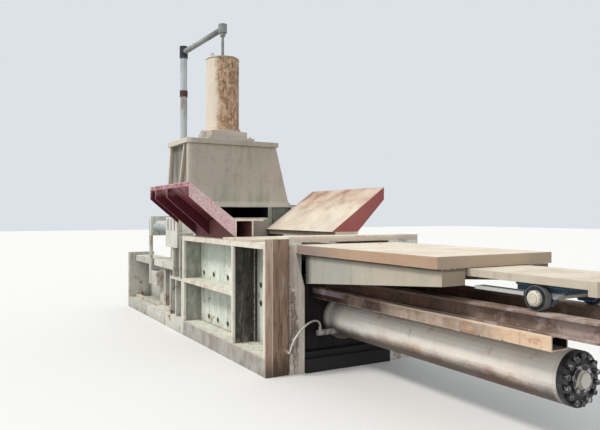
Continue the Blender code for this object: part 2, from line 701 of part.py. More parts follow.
def carriage_frame():
    """The carriage: a top plate, two hangers, cross tubes and a guard bar on the near side."""
    plate_top = RAM_TOP
    plate_low = plate_top - CARRIAGE_PLATE
    x_span = (CARRIAGE_START_X, CARRIAGE_END_X)
    length = CARRIAGE_END_X - CARRIAGE_START_X
    axle_z = wheel_centre_z()
    top_places = [CARRIAGE_START_X + length * share for share in HANGER_LENGTH_SHARES]
    outline = [
        (top_places[0], plate_top), (top_places[0], plate_low - CARRIAGE_PLATE),
        (WHEEL_X - HANGER_FOOT, axle_z - HANGER_FOOT), (WHEEL_X + HANGER_FOOT, axle_z - HANGER_FOOT),
        (top_places[1], plate_low - CARRIAGE_PLATE), (top_places[1], plate_top),
    ]
    pieces = [block(x_span, (-CARRIAGE_HALF, CARRIAGE_HALF), (plate_low, plate_top))]
    for side in (NEAR, FAR):
        pieces.append(prism("Y", span_on(side, HANGER_INNER_Y, HANGER_OUTER_Y), outline))
    for x in top_places:
        tube_span = tuple(sorted((x, x + (WHEEL_X - x) / 2)))
        pieces.append(block((tube_span[0], tube_span[0] + CROSS_TUBE), (-HANGER_OUTER_Y, HANGER_OUTER_Y),
                            (plate_low - CROSS_TUBE, plate_top)))
    guard_end = WHEEL_X - WHEEL_RADIUS - HUB_REACH
    pieces.append(block((GUARD_START_X, guard_end), span_on(NEAR, GUARD_INNER_Y, GUARD_OUTER_Y),
                        (GUARD_LOW, GUARD_HIGH)))
    pieces.append(block((CARRIAGE_START_X, guard_end), span_on(NEAR, GUARD_INNER_Y, HANGER_OUTER_Y),
                        (GUARD_LOW, plate_top)))
    bore = rod("Y", (WHEEL_X, axle_z), AXLE_RADIUS + GAP, (-OUTER, OUTER), MEDIUM_FACETS)
    return solid("carriage_frame", "steel_blue", pieces, [bore], origin=(WHEEL_X, 0, axle_z))


def carriage_axle():
    """The bar that carries both wheels, with a retaining head at each end."""
    end = WHEEL_OUTER_Y + HUB_REACH + GAP
    profile = [
        (0, -end - AXLE_NUT), (AXLE_NUT_RADIUS, -end - AXLE_NUT), (AXLE_NUT_RADIUS, -end),
        (AXLE_RADIUS, -end), (AXLE_RADIUS, end), (AXLE_NUT_RADIUS, end),
        (AXLE_NUT_RADIUS, end + AXLE_NUT), (0, end + AXLE_NUT),
    ]
    body = turned("Y", (WHEEL_X, wheel_centre_z()), profile, MEDIUM_FACETS)
    return solid("carriage_axle", "grey_steel", [body], smooth=True, origin=(WHEEL_X, 0, wheel_centre_z()))


def carriage_wheel(name, side):
    """A rail wheel with a hub that stands out on its outer side."""
    bore = AXLE_RADIUS + GAP
    inner = HANGER_OUTER_Y + GAP
    profile = [
        (bore, inner), (HUB_RADIUS, inner), (HUB_RADIUS, WHEEL_INNER_Y), (WHEEL_RADIUS, WHEEL_INNER_Y),
        (WHEEL_RADIUS, WHEEL_OUTER_Y), (HUB_RADIUS, WHEEL_OUTER_Y), (HUB_RADIUS, WHEEL_OUTER_Y + HUB_REACH),
        (bore, WHEEL_OUTER_Y + HUB_REACH),
    ]
    profile = [(radius, side * along) for radius, along in profile]
    body = turned("Y", (WHEEL_X, wheel_centre_z()), profile, BIG_FACETS)
    centre = (WHEEL_X, side * (WHEEL_INNER_Y + WHEEL_OUTER_Y) / 2, wheel_centre_z())
    return solid(name, "steel_blue", [body], smooth=True, origin=centre)


# Hopper panels and the curbs they stand on
HOPPER_FRONT_X = -2.38
HOPPER_TOP_Z = 1.97
NEAR_PANEL_TOP_Y = -1.37
NEAR_CURB_OUTER_Y = -0.82
NEAR_CURB_INNER_Y = -0.455
NEAR_CURB_TOP = 1.55
FAR_PANEL_LOW_Y = 0.50
FAR_PANEL_TOP_Y = 1.32
FAR_CURB_TOP = 1.386
FAR_CURB_OUTER_Y = 0.90
FAR_HOPPER_FRONT_X = -2.91
SHEET_DROP = 0.016
RIB_DROP = 0.165
RIB_FOOT_Z = 1.345
NEAR_PANEL_END_X = -2.60
NEAR_PANEL_RIB_X = -1.88
NEAR_PANEL_NOTCH_Y = -0.99
PANEL_RIB = 0.014
PANEL_LIP = 0.014
PANEL_LIP_DROP = 0.05
CURB_SKIN = 0.02
CURB_RIB_Y = -0.587
FAR_HOPPER_RIBS = 4


def near_hopper_curb():
    """The ledge on the near wall under the hopper panel: an open section with an inner rib."""
    low = BOX_TOP + GAP
    outer = NEAR_CURB_OUTER_Y + GAP
    rib = CURB_RIB_Y
    outline = [
        (outer, low), (outer, NEAR_CURB_TOP), (NEAR_CURB_INNER_Y, NEAR_CURB_TOP),
        (NEAR_CURB_INNER_Y, NEAR_CURB_TOP - CURB_SKIN), (rib, NEAR_CURB_TOP - CURB_SKIN),
        (rib, low + CURB_SKIN), (NEAR_CURB_INNER_Y, low + CURB_SKIN), (NEAR_CURB_INNER_Y, low),
    ]
    body = prism("X", (HOPPER_FRONT_X, HOPPER_BACK_X), outline)
    pocket = block((HOPPER_FRONT_X + CURB_SKIN, HOPPER_BACK_X + OVERRUN),
                   (outer + CURB_SKIN, rib - CURB_SKIN), (low + CURB_SKIN, NEAR_CURB_TOP - CURB_SKIN))
    return solid("near_hopper_curb", "brown_rust", [body], [pocket])


def hopper_near_panel():
    """The sheet that leans out over the near wall, notched at its front to clear the head."""
    low = (NEAR_CURB_OUTER_Y, NEAR_CURB_TOP)
    high = (NEAR_PANEL_TOP_Y, HOPPER_TOP_Z)
    x_span = (NEAR_PANEL_END_X, HOPPER_BACK_X)
    sheet = prism("X", x_span, [low, high, (high[0], high[1] - SHEET_DROP), (low[0], low[1] - SHEET_DROP)])
    rib_outline = [low, high, (high[0], high[1] - RIB_DROP), (low[0], RIB_FOOT_Z)]
    pieces = [sheet]
    for x in (NEAR_PANEL_END_X, HOPPER_FRONT_X, NEAR_PANEL_RIB_X, HOPPER_BACK_X - PANEL_RIB):
        pieces.append(prism("X", (x, x + PANEL_RIB), rib_outline))
    lip_levels = (high[1] - PANEL_LIP_DROP, high[1] - PANEL_LIP)
    pieces.append(block(x_span, (high[0], high[0] + PANEL_LIP), lip_levels))
    notch = block((NEAR_PANEL_END_X - OVERRUN, HOPPER_FRONT_X), (NEAR_PANEL_NOTCH_Y, 0), (0, HOPPER_TOP_Z))
    return solid("hopper_near_panel", "faded_red", pieces, [notch])


def far_hopper_curb():
    """The low bearer on the far wall under the far panel."""
    body = block((FAR_HOPPER_FRONT_X, HOPPER_BACK_X - GAP), (WALL_INNER, FAR_CURB_OUTER_Y),
                 (BOX_TOP + GAP, FAR_CURB_TOP - GAP))
    return solid("far_hopper_curb", "grey_steel", [body])


def hopper_far_panel():
    """The longer sheet that leans out over the far wall, ribbed on its outer side."""
    low = (FAR_PANEL_LOW_Y, FAR_CURB_TOP)
    high = (FAR_PANEL_TOP_Y, HOPPER_TOP_Z)
    x_span = (FAR_HOPPER_FRONT_X, HOPPER_BACK_X)
    sheet = prism("X", x_span, [low, high, (high[0], high[1] - SHEET_DROP), (low[0] + SHEET_DROP, low[1])])
    rib_outline = [low, high, (high[0], high[1] - RIB_DROP), (FAR_CURB_OUTER_Y, FAR_CURB_TOP)]
    pieces = [sheet]
    for x in spread(x_span[0], x_span[1] - PANEL_RIB, FAR_HOPPER_RIBS):
        pieces.append(prism("X", (x, x + PANEL_RIB), rib_outline))
    lip_levels = (high[1] - PANEL_LIP_DROP, high[1] - PANEL_LIP)
    pieces.append(block(x_span, (high[0] - PANEL_LIP, high[0]), lip_levels))
    return solid("hopper_far_panel", "faded_red", pieces)


# Baling head: side frames, back wall, bed and shear beam
SHEAR_BEAM_LENGTH = 0.14
SHEAR_BEAM_TOP = 1.56
SHEAR_CLEAR = 0.003
HEAD_SKIN = 0.065
SILL_TOP = 0.17
HEAD_RIB = 0.03
FLANGE_RIB = 0.04
STOP_BOX_END_X = -3.03
STOP_BOX_TOP = 0.74
STOP_BOX_WALL = 0.035
STOP_BOX_DEPTH = 0.20
STOP_BOX_WINDOWS = 2
UPPER_RIB_PLACES = (-2.57, -2.87)
WINDOW_BACK_X = -3.95
WINDOW_FRONT_X = -3.11
GUIDE_OUTER_Y = 0.86
GATE_OUTER_Y = 0.80
GUIDE_LOW = 0.80
GATE_TOP = 0.84
GUIDE_TOP = 0.90
TRACK_LIP_TOP = 0.21
GUIDE_BOX_OUTER = 1.03
GUIDE_BOX_TOP = 0.92
GUIDE_BOX_FRONT_X = -3.00
GUIDE_BOX_BACK_X = -4.06
FAR_LEG_INNER_Y = 0.68
FAR_LEG_OUTER_Y = 1.02
FAR_LEG_LENGTH = 0.16
GATE_CYLINDER_Y = -0.85
GATE_CYLINDER_Z = 1.43
GATE_BARREL_RADIUS = 0.085
GATE_SADDLE_PLACE_X = -4.06
GATE_SADDLE_LENGTH = 0.06
GATE_SADDLE_DROP = 0.15


def press_window(side):
    """The opening that the bale and the transverse ram pass through, as a cutter."""
    across = span_on(side, CHANNEL_HALF - OVERRUN, GUIDE_BOX_OUTER + OVERRUN)
    return block((WINDOW_BACK_X, WINDOW_FRONT_X), across, (FLOOR_TOP, PRESS_WINDOW_TOP))


def head_near_frame():
    """The head's near wall: skin, sill with the gate's track, stop box, ribs and gate guide."""
    x_span = (HEAD_END_X, HEAD_START_X)
    skin_outer = CHANNEL_HALF + HEAD_SKIN
    skin_across = span_on(NEAR, CHANNEL_HALF, skin_outer)
    full_across = span_on(NEAR, CHANNEL_HALF, OUTER)
    lip_across = span_on(NEAR, GATE_OUTER_Y + GAP, GUIDE_OUTER_Y)
    guide_span = (HEAD_END_X, STOP_BOX_END_X)
    skin = block(x_span, skin_across, (0, BOX_TOP))
    pieces = [
        block((HEAD_END_X, MOUTH_X + SHEAR_BEAM_LENGTH), skin_across, (0, HEAD_TOP)),
        block(x_span, full_across, (0, SILL_TOP)),
        block((HEAD_START_X - FLANGE_RIB, HEAD_START_X), full_across, (0, BOX_TOP)),
        block((STOP_BOX_END_X, HEAD_START_X), full_across, (0, STOP_BOX_TOP)),
        block(guide_span, lip_across, (0, TRACK_LIP_TOP)),
        block(guide_span, span_on(NEAR, CHANNEL_HALF, GUIDE_OUTER_Y), (GATE_TOP + GAP, GUIDE_TOP)),
        block(guide_span, lip_across, (GUIDE_LOW, GUIDE_TOP)),
        block((UPPER_RIB_PLACES[1], HEAD_START_X), span_on(NEAR, CHANNEL_HALF, OUTER - HEAD_RIB),
              (BOX_TOP - TOP_FLANGE, BOX_TOP)),
    ]
    for x in UPPER_RIB_PLACES:
        pieces.append(block((x - HEAD_RIB, x), full_across, (0, BOX_TOP)))
    saddle_end = GATE_SADDLE_PLACE_X + GATE_SADDLE_LENGTH
    pieces.append(block((GATE_SADDLE_PLACE_X, saddle_end),
                        (GATE_CYLINDER_Y - GATE_BARREL_RADIUS - HEAD_RIB, -CHANNEL_HALF),
                        (GATE_CYLINDER_Z - GATE_SADDLE_DROP, GATE_CYLINDER_Z + GATE_SADDLE_DROP)))
    cuts = [press_window(NEAR)]
    windows = spread(STOP_BOX_END_X + STOP_BOX_WALL, HEAD_START_X - FLANGE_RIB, STOP_BOX_WINDOWS + 1)
    sunk_across = span_on(NEAR, OUTER - STOP_BOX_DEPTH, OUTER + OVERRUN)
    for start, end in zip(windows, windows[1:]):
        cuts.append(block((start, end - STOP_BOX_WALL), sunk_across,
                          (SILL_TOP + STOP_BOX_WALL, STOP_BOX_TOP - STOP_BOX_WALL)))
    cuts.append(rod("X", (GATE_CYLINDER_Y, GATE_CYLINDER_Z), GATE_BARREL_RADIUS + GAP,
                    (GATE_SADDLE_PLACE_X - OVERRUN, saddle_end + OVERRUN), MEDIUM_FACETS))
    return solid("head_near_frame", "frame_paint", [skin, *pieces], cuts)


def head_far_frame():
    """The head's far wall: skin, ribs, the guide box of the transverse ram and the tower's leg."""
    x_span = (HEAD_END_X, HEAD_START_X)
    skin_outer = CHANNEL_HALF + HEAD_SKIN
    skin = block(x_span, (CHANNEL_HALF, skin_outer), (0, BOX_TOP))
    guide_across = (CHANNEL_HALF, GUIDE_BOX_OUTER)
    guide = block((GUIDE_BOX_BACK_X, GUIDE_BOX_FRONT_X), guide_across, (0, GUIDE_BOX_TOP))
    leg_x = (MOUTH_X - FAR_LEG_LENGTH, MOUTH_X)
    pieces = [
        guide,
        block((HEAD_END_X, MOUTH_X + SHEAR_BEAM_LENGTH), (CHANNEL_HALF, skin_outer), (0, HEAD_TOP)),
        block(x_span, (CHANNEL_HALF, OUTER), (0, SILL_TOP)),
        block((HEAD_START_X - FLANGE_RIB, HEAD_START_X), (CHANNEL_HALF, OUTER), (0, BOX_TOP)),
        block((GUIDE_BOX_BACK_X, HEAD_START_X), (CHANNEL_HALF, OUTER), (BOX_TOP - TOP_FLANGE, BOX_TOP)),
        block(leg_x, (FAR_LEG_INNER_Y, FAR_LEG_OUTER_Y), (GUIDE_BOX_TOP - TOP_FLANGE, HEAD_TOP)),
        block((GUIDE_BOX_BACK_X, GUIDE_BOX_BACK_X + HEAD_RIB), (CHANNEL_HALF, OUTER), (0, HEAD_TOP)),
    ]
    for x in UPPER_RIB_PLACES:
        pieces.append(block((x - HEAD_RIB, x), (CHANNEL_HALF, OUTER), (0, BOX_TOP)))
    return solid("head_far_frame", "frame_paint", [skin, *pieces], [press_window(FAR)])


# Back wall
BACK_POCKET_COUNT = 3
BACK_POCKET_WALL = 0.05
BACK_POCKET_DEPTH = 0.12
BACK_POCKET_LEVELS = ((0.10, 0.58), (0.64, 1.12), (1.18, 1.66))


def head_back_wall():
    """The thick wall behind the chamber, pocketed from the back."""
    half = CHANNEL_HALF - GAP
    body = block((HEAD_END_X, CHAMBER_BACK_X), (-half, half), (0, HEAD_TOP))
    edges = spread(-half + BACK_POCKET_WALL, half, BACK_POCKET_COUNT + 1)
    cuts = []
    for start, end in zip(edges, edges[1:]):
        for levels in BACK_POCKET_LEVELS:
            cuts.append(block((HEAD_END_X - OVERRUN, HEAD_END_X + BACK_POCKET_DEPTH),
                              (start, end - BACK_POCKET_WALL), levels))
    return solid("head_back_wall", "frame_paint", [body], cuts)


def shear_beam():
    """The beam over the mouth, just above the path of the moving cover."""
    half = CHANNEL_HALF - GAP
    low = RAM_TOP + GAP + COVER_THICK + SHEAR_CLEAR
    end = MOUTH_X + SHEAR_BEAM_LENGTH
    outline = [
        (MOUTH_X, low), (end, low), (end, SHEAR_BEAM_TOP - ROOF_THICK), (end - ROOF_THICK, SHEAR_BEAM_TOP),
        (MOUTH_X, SHEAR_BEAM_TOP),
    ]
    return solid("shear_beam", "worn_steel", [prism("Y", (-half, half), outline)])


# Tower over the head
TOWER_NEAR_Y = -0.65
TOWER_FAR_LOW_Y = 0.98
TOWER_FAR_TOP_Y = 0.74
TOWER_BACK_LOW_X = -4.10
TOWER_BACK_TOP_X = -3.89
TOWER_BASE_TOP = 1.76
TOWER_SHOULDER = 2.655
TOWER_TOP = 2.725
TOWER_SKIN = 0.03
TOWER_RIM = 0.03
TOWER_BASE_RIM = 0.07
TOWER_FAR_RIM = 0.12
TOWER_RIB = 0.022
TOWER_RIB_DEPTH = 0.045
TOWER_RIB_LOW_SHARES = (0.03, 0.50, 0.97)
TOWER_RIB_TOP_SHARES = (0.03, 0.20, 0.97)
ROD_OPENING_RADIUS = 0.28


def tower_housing():
    """The tapered housing with its base rim, top flange and the ribs on its near side."""
    front = MOUTH_X
    bottom = ((TOWER_BACK_LOW_X, front), (TOWER_NEAR_Y, TOWER_FAR_LOW_Y))
    top = ((TOWER_BACK_TOP_X, front), (TOWER_NEAR_Y, TOWER_FAR_TOP_Y))
    low = HEAD_TOP + GAP
    shell = loft(bottom, low, top, TOWER_SHOULDER)
    pieces = [
        block((bottom[0][0] - TOWER_RIM, front + TOWER_RIM), (TOWER_NEAR_Y - TOWER_BASE_RIM,
              TOWER_FAR_LOW_Y + TOWER_FAR_RIM), (low, TOWER_BASE_TOP)),
        block((top[0][0] - TOWER_RIM, front + TOWER_RIM), (TOWER_NEAR_Y - TOWER_BASE_RIM,
              TOWER_FAR_TOP_Y + TOWER_RIM), (TOWER_SHOULDER - GAP, TOWER_TOP)),
    ]
    for low_share, top_share in zip(TOWER_RIB_LOW_SHARES, TOWER_RIB_TOP_SHARES):
        low_x = front + (bottom[0][0] - front) * low_share
        top_x = front + (top[0][0] - front) * top_share
        outline = [(low_x + TOWER_RIB, low), (top_x + TOWER_RIB, TOWER_SHOULDER),
                   (top_x - TOWER_RIB, TOWER_SHOULDER), (low_x - TOWER_RIB, low)]
        outline = [(min(x, front), z) for x, z in outline]
        pieces.append(prism("Y", (TOWER_NEAR_Y - TOWER_RIB_DEPTH, TOWER_NEAR_Y + GAP), outline))
    inner_bottom = ((bottom[0][0] + TOWER_SKIN, front - TOWER_SKIN),
                    (TOWER_NEAR_Y + TOWER_SKIN, TOWER_FAR_LOW_Y - TOWER_SKIN))
    inner_top = ((top[0][0] + TOWER_SKIN, front - TOWER_SKIN),
                 (TOWER_NEAR_Y + TOWER_SKIN, TOWER_FAR_TOP_Y - TOWER_SKIN))
    hollow = loft(inner_bottom, low, inner_top, TOWER_SHOULDER)
    mouth = block(*inner_bottom, (low - OVERRUN, low + GAP))
    opening_span = (TOWER_SHOULDER - OVERRUN, TOWER_TOP + OVERRUN)
    opening = rod("Z", (TAMPER_AXIS_X, 0), ROD_OPENING_RADIUS, opening_span, BIG_FACETS)
    return solid("tower_housing", "tower_grey", [shell, *pieces], [hollow, mouth, opening])


# Tamper: collar, barrel, rod and platen
COLLAR_LOW_TOP = 2.765
COLLAR_HALF = 0.37
COLLAR_NECK_HALF = 0.285
COLLAR_NECK_TOP = 2.87
COLLAR_RIM_RADIUS = 0.29
COLLAR_TOP = 2.89
TAMPER_RADIUS = 0.252
TAMPER_BORE = 0.21
TAMPER_ROD_RADIUS = 0.14
TAMPER_HEAD_Z = 3.97
TAMPER_TOP = 4.02
TAMPER_PISTON = 0.10
TAMPER_PISTON_STOP_Z = 3.005
TAMPER_PISTON_TOP = TAMPER_PISTON_STOP_Z + TAMPER_STROKE
TAMPER_BASE_RING = 0.275
TAMPER_RING_HEIGHT = 0.03
PLATEN_LOW = 1.80
PLATEN_THICK = 0.14
PLATEN_FRONT_X = -3.10
PLATEN_BACK_X = -3.945
PLATEN_HALF = 0.525
PLATEN_FOOT_RADIUS = 0.22
PLATEN_FOOT = 0.05
COLLAR_BOLT_RADIUS = 0.022
COLLAR_BOLT_HEAD = 0.025
COLLAR_BOLT_INSET = 0.05
PLATEN_RIB = 0.04
PLATEN_RIB_HEIGHT = 0.09


def tamper_collar():
    """The stepped collar that bolts the cylinder to the tower and guides its rod."""
    centre = (TAMPER_AXIS_X, 0)
    low = TOWER_TOP + GAP
    base = block((centre[0] - COLLAR_HALF, centre[0] + COLLAR_HALF), (-COLLAR_HALF, COLLAR_HALF),
                 (low, COLLAR_LOW_TOP))
    neck_x = (centre[0] - COLLAR_NECK_HALF, centre[0] + COLLAR_NECK_HALF)
    neck = block(neck_x, (-COLLAR_NECK_HALF, COLLAR_NECK_HALF), (low, COLLAR_NECK_TOP))
    pieces = [neck, rod("Z", centre, COLLAR_RIM_RADIUS, (low, COLLAR_TOP), BIG_FACETS)]
    reach = COLLAR_HALF - COLLAR_BOLT_INSET
    head_span = (COLLAR_LOW_TOP - COLLAR_BOLT_HEAD, COLLAR_LOW_TOP + COLLAR_BOLT_HEAD)
    for x in (centre[0] - reach, centre[0] + reach):
        for y in (-reach, reach):
            pieces.append(rod("Z", (x, y), COLLAR_BOLT_RADIUS, head_span, HEX_FACETS))
    bore = rod("Z", centre, TAMPER_ROD_RADIUS + GAP, (low - OVERRUN, COLLAR_TOP + OVERRUN), BIG_FACETS)
    return solid("tamper_collar", "tower_grey", [base, *pieces], [bore], smooth=True)


def tamper_barrel():
    """The upright barrel, welded shut at its top, with a base ring on the collar."""
    low = COLLAR_TOP + GAP
    profile = [
        (0, TAMPER_TOP), (TAMPER_RADIUS, TAMPER_TOP), (TAMPER_RADIUS, low + TAMPER_RING_HEIGHT),
        (TAMPER_BASE_RING, low + TAMPER_RING_HEIGHT), (TAMPER_BASE_RING, low), (TAMPER_BORE, low),
        (TAMPER_BORE, TAMPER_HEAD_Z), (0, TAMPER_HEAD_Z),
    ]
    body = turned("Z", (TAMPER_AXIS_X, 0), profile, BIG_FACETS)
    return solid("tamper_barrel", "rust_cream", [body], smooth=True)


def tamper_rod():
    """The tamper's rod, with its piston and the foot that holds the platen."""
    foot = PLATEN_LOW + PLATEN_THICK + GAP
    piston_low = TAMPER_PISTON_TOP - TAMPER_PISTON
    profile = [
        (0, foot), (PLATEN_FOOT_RADIUS, foot), (PLATEN_FOOT_RADIUS, foot + PLATEN_FOOT),
        (TAMPER_ROD_RADIUS, foot + PLATEN_FOOT), (TAMPER_ROD_RADIUS, piston_low),
        (TAMPER_BORE - GAP, piston_low), (TAMPER_BORE - GAP, TAMPER_PISTON_TOP), (0, TAMPER_PISTON_TOP),
    ]
    body = turned("Z", (TAMPER_AXIS_X, 0), profile, BIG_FACETS)
    return solid("tamper_rod", "chrome", [body], smooth=True, origin=(TAMPER_AXIS_X, 0, foot))


def tamper_platen():
    """The thick plate that presses down on the charge, ribbed on top round the rod's foot."""
    top = PLATEN_LOW + PLATEN_THICK
    body = block((PLATEN_BACK_X, PLATEN_FRONT_X), (-PLATEN_HALF, PLATEN_HALF), (PLATEN_LOW, top))
    pieces = []
    rib_levels = (top - PLATEN_RIB, top + PLATEN_RIB_HEIGHT)
    for side in (NEAR, FAR):
        y_span = span_on(side, PLATEN_HALF - PLATEN_RIB, PLATEN_HALF)
        pieces.append(block((PLATEN_BACK_X, PLATEN_FRONT_X), y_span, rib_levels))
    return solid("tamper_platen", "grey_steel", [body, *pieces], origin=(TAMPER_AXIS_X, 0, PLATEN_LOW))


# Transverse ram and its cylinder on the far side
TRANSVERSE_X = -3.53
TRANSVERSE_Z = 0.495
TRANSVERSE_RADIUS = 0.20
TRANSVERSE_BORE = 0.16
TRANSVERSE_ROD_RADIUS = 0.11
TRANSVERSE_PLATE = 0.08
TRANSVERSE_SPARE = 0.21
TRANSVERSE_BARREL_LENGTH = TRANSVERSE_STROKE + TRANSVERSE_SPARE
TRANSVERSE_PISTON = 0.10
TRANSVERSE_FACE_Y = 0.53
TRANSVERSE_BODY_LENGTH = 0.44
TRANSVERSE_RAM_FRONT_X = -3.115
TRANSVERSE_RAM_BACK_X = -3.945
TRANSVERSE_RAM_TOP = 0.785
TRANSVERSE_FOOT = 0.04
TRANSVERSE_FOOT_RADIUS = 0.17
TRANSVERSE_CAP_RADIUS = 0.225
TRANSVERSE_CAP = 0.05
TRANSVERSE_CAP_SPIGOT = 0.03
TRANSVERSE_CAP_BOLTS = 12
TRANSVERSE_BOLT_CIRCLE = 0.19
TRANSVERSE_WALL_GAP = 0.02
PLATE_BOLT_ROWS = 4


def transverse_centre():
    """The x and z of the transverse cylinder's axis."""
    return (TRANSVERSE_X, TRANSVERSE_Z)


def transverse_plate_outer():
    """The y of the end plate's outer face, where the barrel starts."""
    return GUIDE_BOX_OUTER + GAP + TRANSVERSE_PLATE


def transverse_end_plate():
    """The plate that closes the guide box and carries the transverse cylinder."""
    body = block((GUIDE_BOX_BACK_X, GUIDE_BOX_FRONT_X), (GUIDE_BOX_OUTER + GAP, transverse_plate_outer()),
                 (0, GUIDE_BOX_TOP))
    pieces = []
    head_span = (GUIDE_BOX_OUTER + TRANSVERSE_PLATE / 2, transverse_plate_outer() + COLLAR_BOLT_HEAD)
    low_row = COLLAR_BOLT_INSET + COLLAR_BOLT_INSET
    for x in (GUIDE_BOX_BACK_X + COLLAR_BOLT_INSET, GUIDE_BOX_FRONT_X - COLLAR_BOLT_INSET):
        for z in spread(low_row, GUIDE_BOX_TOP - COLLAR_BOLT_INSET, PLATE_BOLT_ROWS):
            pieces.append(rod("Y", (x, z), COLLAR_BOLT_RADIUS, head_span, HEX_FACETS))
    bore = rod("Y", transverse_centre(), TRANSVERSE_ROD_RADIUS + GAP,
               (GUIDE_BOX_OUTER - OVERRUN, transverse_plate_outer() + OVERRUN), BIG_FACETS)
    return solid("transverse_end_plate", "frame_paint", [body, *pieces], [bore])


def transverse_barrel():
    """The transverse cylinder's barrel with its base ring."""
    start = transverse_plate_outer() + GAP
    ring_end = start + TRANSVERSE_CAP
    end = start + TRANSVERSE_BARREL_LENGTH
    profile = [
        (TRANSVERSE_BORE, start), (TRANSVERSE_CAP_RADIUS, start), (TRANSVERSE_CAP_RADIUS, ring_end),
        (TRANSVERSE_RADIUS, ring_end), (TRANSVERSE_RADIUS, end), (TRANSVERSE_BORE, end),
    ]
    body = turned("Y", transverse_centre(), profile, BIG_FACETS)
    return solid("transverse_barrel", "barrel_grey", [body], smooth=True)


def transverse_cap():
    """The bolted cap on the transverse cylinder."""
    start = transverse_plate_outer() + GAP + TRANSVERSE_BARREL_LENGTH + GAP
    face = start + TRANSVERSE_CAP
    inner = start - TRANSVERSE_CAP_SPIGOT
    profile = [
        (0, inner), (TRANSVERSE_BORE - GAP, inner), (TRANSVERSE_BORE - GAP, start),
        (TRANSVERSE_CAP_RADIUS, start), (TRANSVERSE_CAP_RADIUS, face), (0, face),
    ]
    body = turned("Y", transverse_centre(), profile, BIG_FACETS)
    places = ring_places(transverse_centre(), TRANSVERSE_BOLT_CIRCLE, TRANSVERSE_CAP_BOLTS, HALF_SHARE)
    head_span = (face - CAP_RING, face + COLLAR_BOLT_HEAD)
    heads = [rod("Y", place, CAP_BOLT_RADIUS, head_span, HEX_FACETS) for place in places]
    return solid("transverse_cap", "oily_black", [body, *heads], smooth=True)


def transverse_ram():
    """The block that gives the last compression and pushes the bale out at the gate."""
    span = (TRANSVERSE_FACE_Y, TRANSVERSE_FACE_Y + TRANSVERSE_BODY_LENGTH)
    levels = (FLOOR_TOP + GAP, TRANSVERSE_RAM_TOP)
    body = block((TRANSVERSE_RAM_BACK_X, TRANSVERSE_RAM_FRONT_X), span, levels)
    return solid("transverse_ram", "grey_steel", [body], origin=(TRANSVERSE_X, span[0], TRANSVERSE_Z))


def transverse_rod():
    """The transverse rod with its piston and foot."""
    foot = TRANSVERSE_FACE_Y + TRANSVERSE_BODY_LENGTH + GAP
    end = transverse_plate_outer() + TRANSVERSE_BARREL_LENGTH - TRANSVERSE_CAP_SPIGOT - TRANSVERSE_WALL_GAP
    piston = end - TRANSVERSE_PISTON
    profile = [
        (0, foot), (TRANSVERSE_FOOT_RADIUS, foot), (TRANSVERSE_FOOT_RADIUS, foot + TRANSVERSE_FOOT),
        (TRANSVERSE_ROD_RADIUS, foot + TRANSVERSE_FOOT), (TRANSVERSE_ROD_RADIUS, piston),
        (TRANSVERSE_BORE - GAP, piston), (TRANSVERSE_BORE - GAP, end), (0, end),
    ]
    body = turned("Y", transverse_centre(), profile, BIG_FACETS)
    return solid("transverse_rod", "chrome", [body], smooth=True, origin=(TRANSVERSE_X, foot, TRANSVERSE_Z))


# Bale gate, its run frame and its cylinder
GATE_FRONT_X = STOP_BOX_END_X - GAP
GATE_BACK_X = -4.06
GATE_RIB = 0.035
GATE_POCKET_DEPTH = 0.13
GATE_POCKETS = 4
RUN_END_X = -5.40
RUN_POST = 0.08
RUN_POST_TOP = 0.95
ARM_FRONT_X = -4.22
ARM_BACK_X = -4.34
ARM_SKIN_INNER_Y = 0.87
ARM_SKIN_OUTER_Y = 0.90
ARM_FOOT_LOW = 0.50
ARM_FOOT_TOP = 0.72
ARM_TOP = 1.52
ARM_FOOT_END_X = -3.90
GATE_BARREL_FRONT_X = -3.12
GATE_BARREL_SPARE = 0.11
GATE_BARREL_BACK_X = GATE_BARREL_FRONT_X - GATE_STROKE - GATE_BARREL_SPARE
GATE_BORE = 0.06
GATE_ROD_RADIUS = 0.04
GATE_END_PLATE = 0.03
GATE_PISTON = 0.04
GATE_LUG_THICK = 0.03
BRACKET_FRONT_X = -2.62
BRACKET_LOW = BOX_TOP + GAP
BRACKET_TOP = 1.57
BRACKET_DROP = 1.15
BRACKET_FACE = 0.03
BRACKET_SLOTS = 2
BRACKET_SLOT_WIDTH = 0.05
BRACKET_SLOT_MARGIN = 0.08


def gate():
    """The ribbed plate that shuts the head's near window, with the arm that its cylinder pushes."""
    low = SILL_TOP + GAP
    inner = CHANNEL_HALF + HEAD_SKIN + GAP
    x_span = (GATE_BACK_X, GATE_FRONT_X)
    pieces = [
        block((ARM_BACK_X, ARM_FOOT_END_X), span_on(NEAR, GATE_OUTER_Y - GATE_RIB, ARM_SKIN_OUTER_Y),
              (ARM_FOOT_LOW, ARM_FOOT_TOP)),
        block((ARM_BACK_X, ARM_FRONT_X), span_on(NEAR, ARM_SKIN_INNER_Y, ARM_SKIN_OUTER_Y),
              (ARM_FOOT_LOW, ARM_TOP)),
    ]
    body = block(x_span, span_on(NEAR, inner, GATE_OUTER_Y), (low, GATE_TOP))
    edges = spread(x_span[0] + GATE_RIB, x_span[1], GATE_POCKETS + 1)
    cuts = []
    for start, end in zip(edges[1:], edges[2:]):
        cuts.append(block((start, end - GATE_RIB), span_on(NEAR, GATE_OUTER_Y - GATE_POCKET_DEPTH, OUTER),
                          (low + GATE_RIB, GUIDE_LOW - GATE_RIB)))
    body = solid("gate", "frame_paint", [body], cuts)
    origin = (GATE_FRONT_X, GATE_CYLINDER_Y, GATE_CYLINDER_Z)
    return solid("gate", "frame_paint", [body, *pieces], origin=origin)


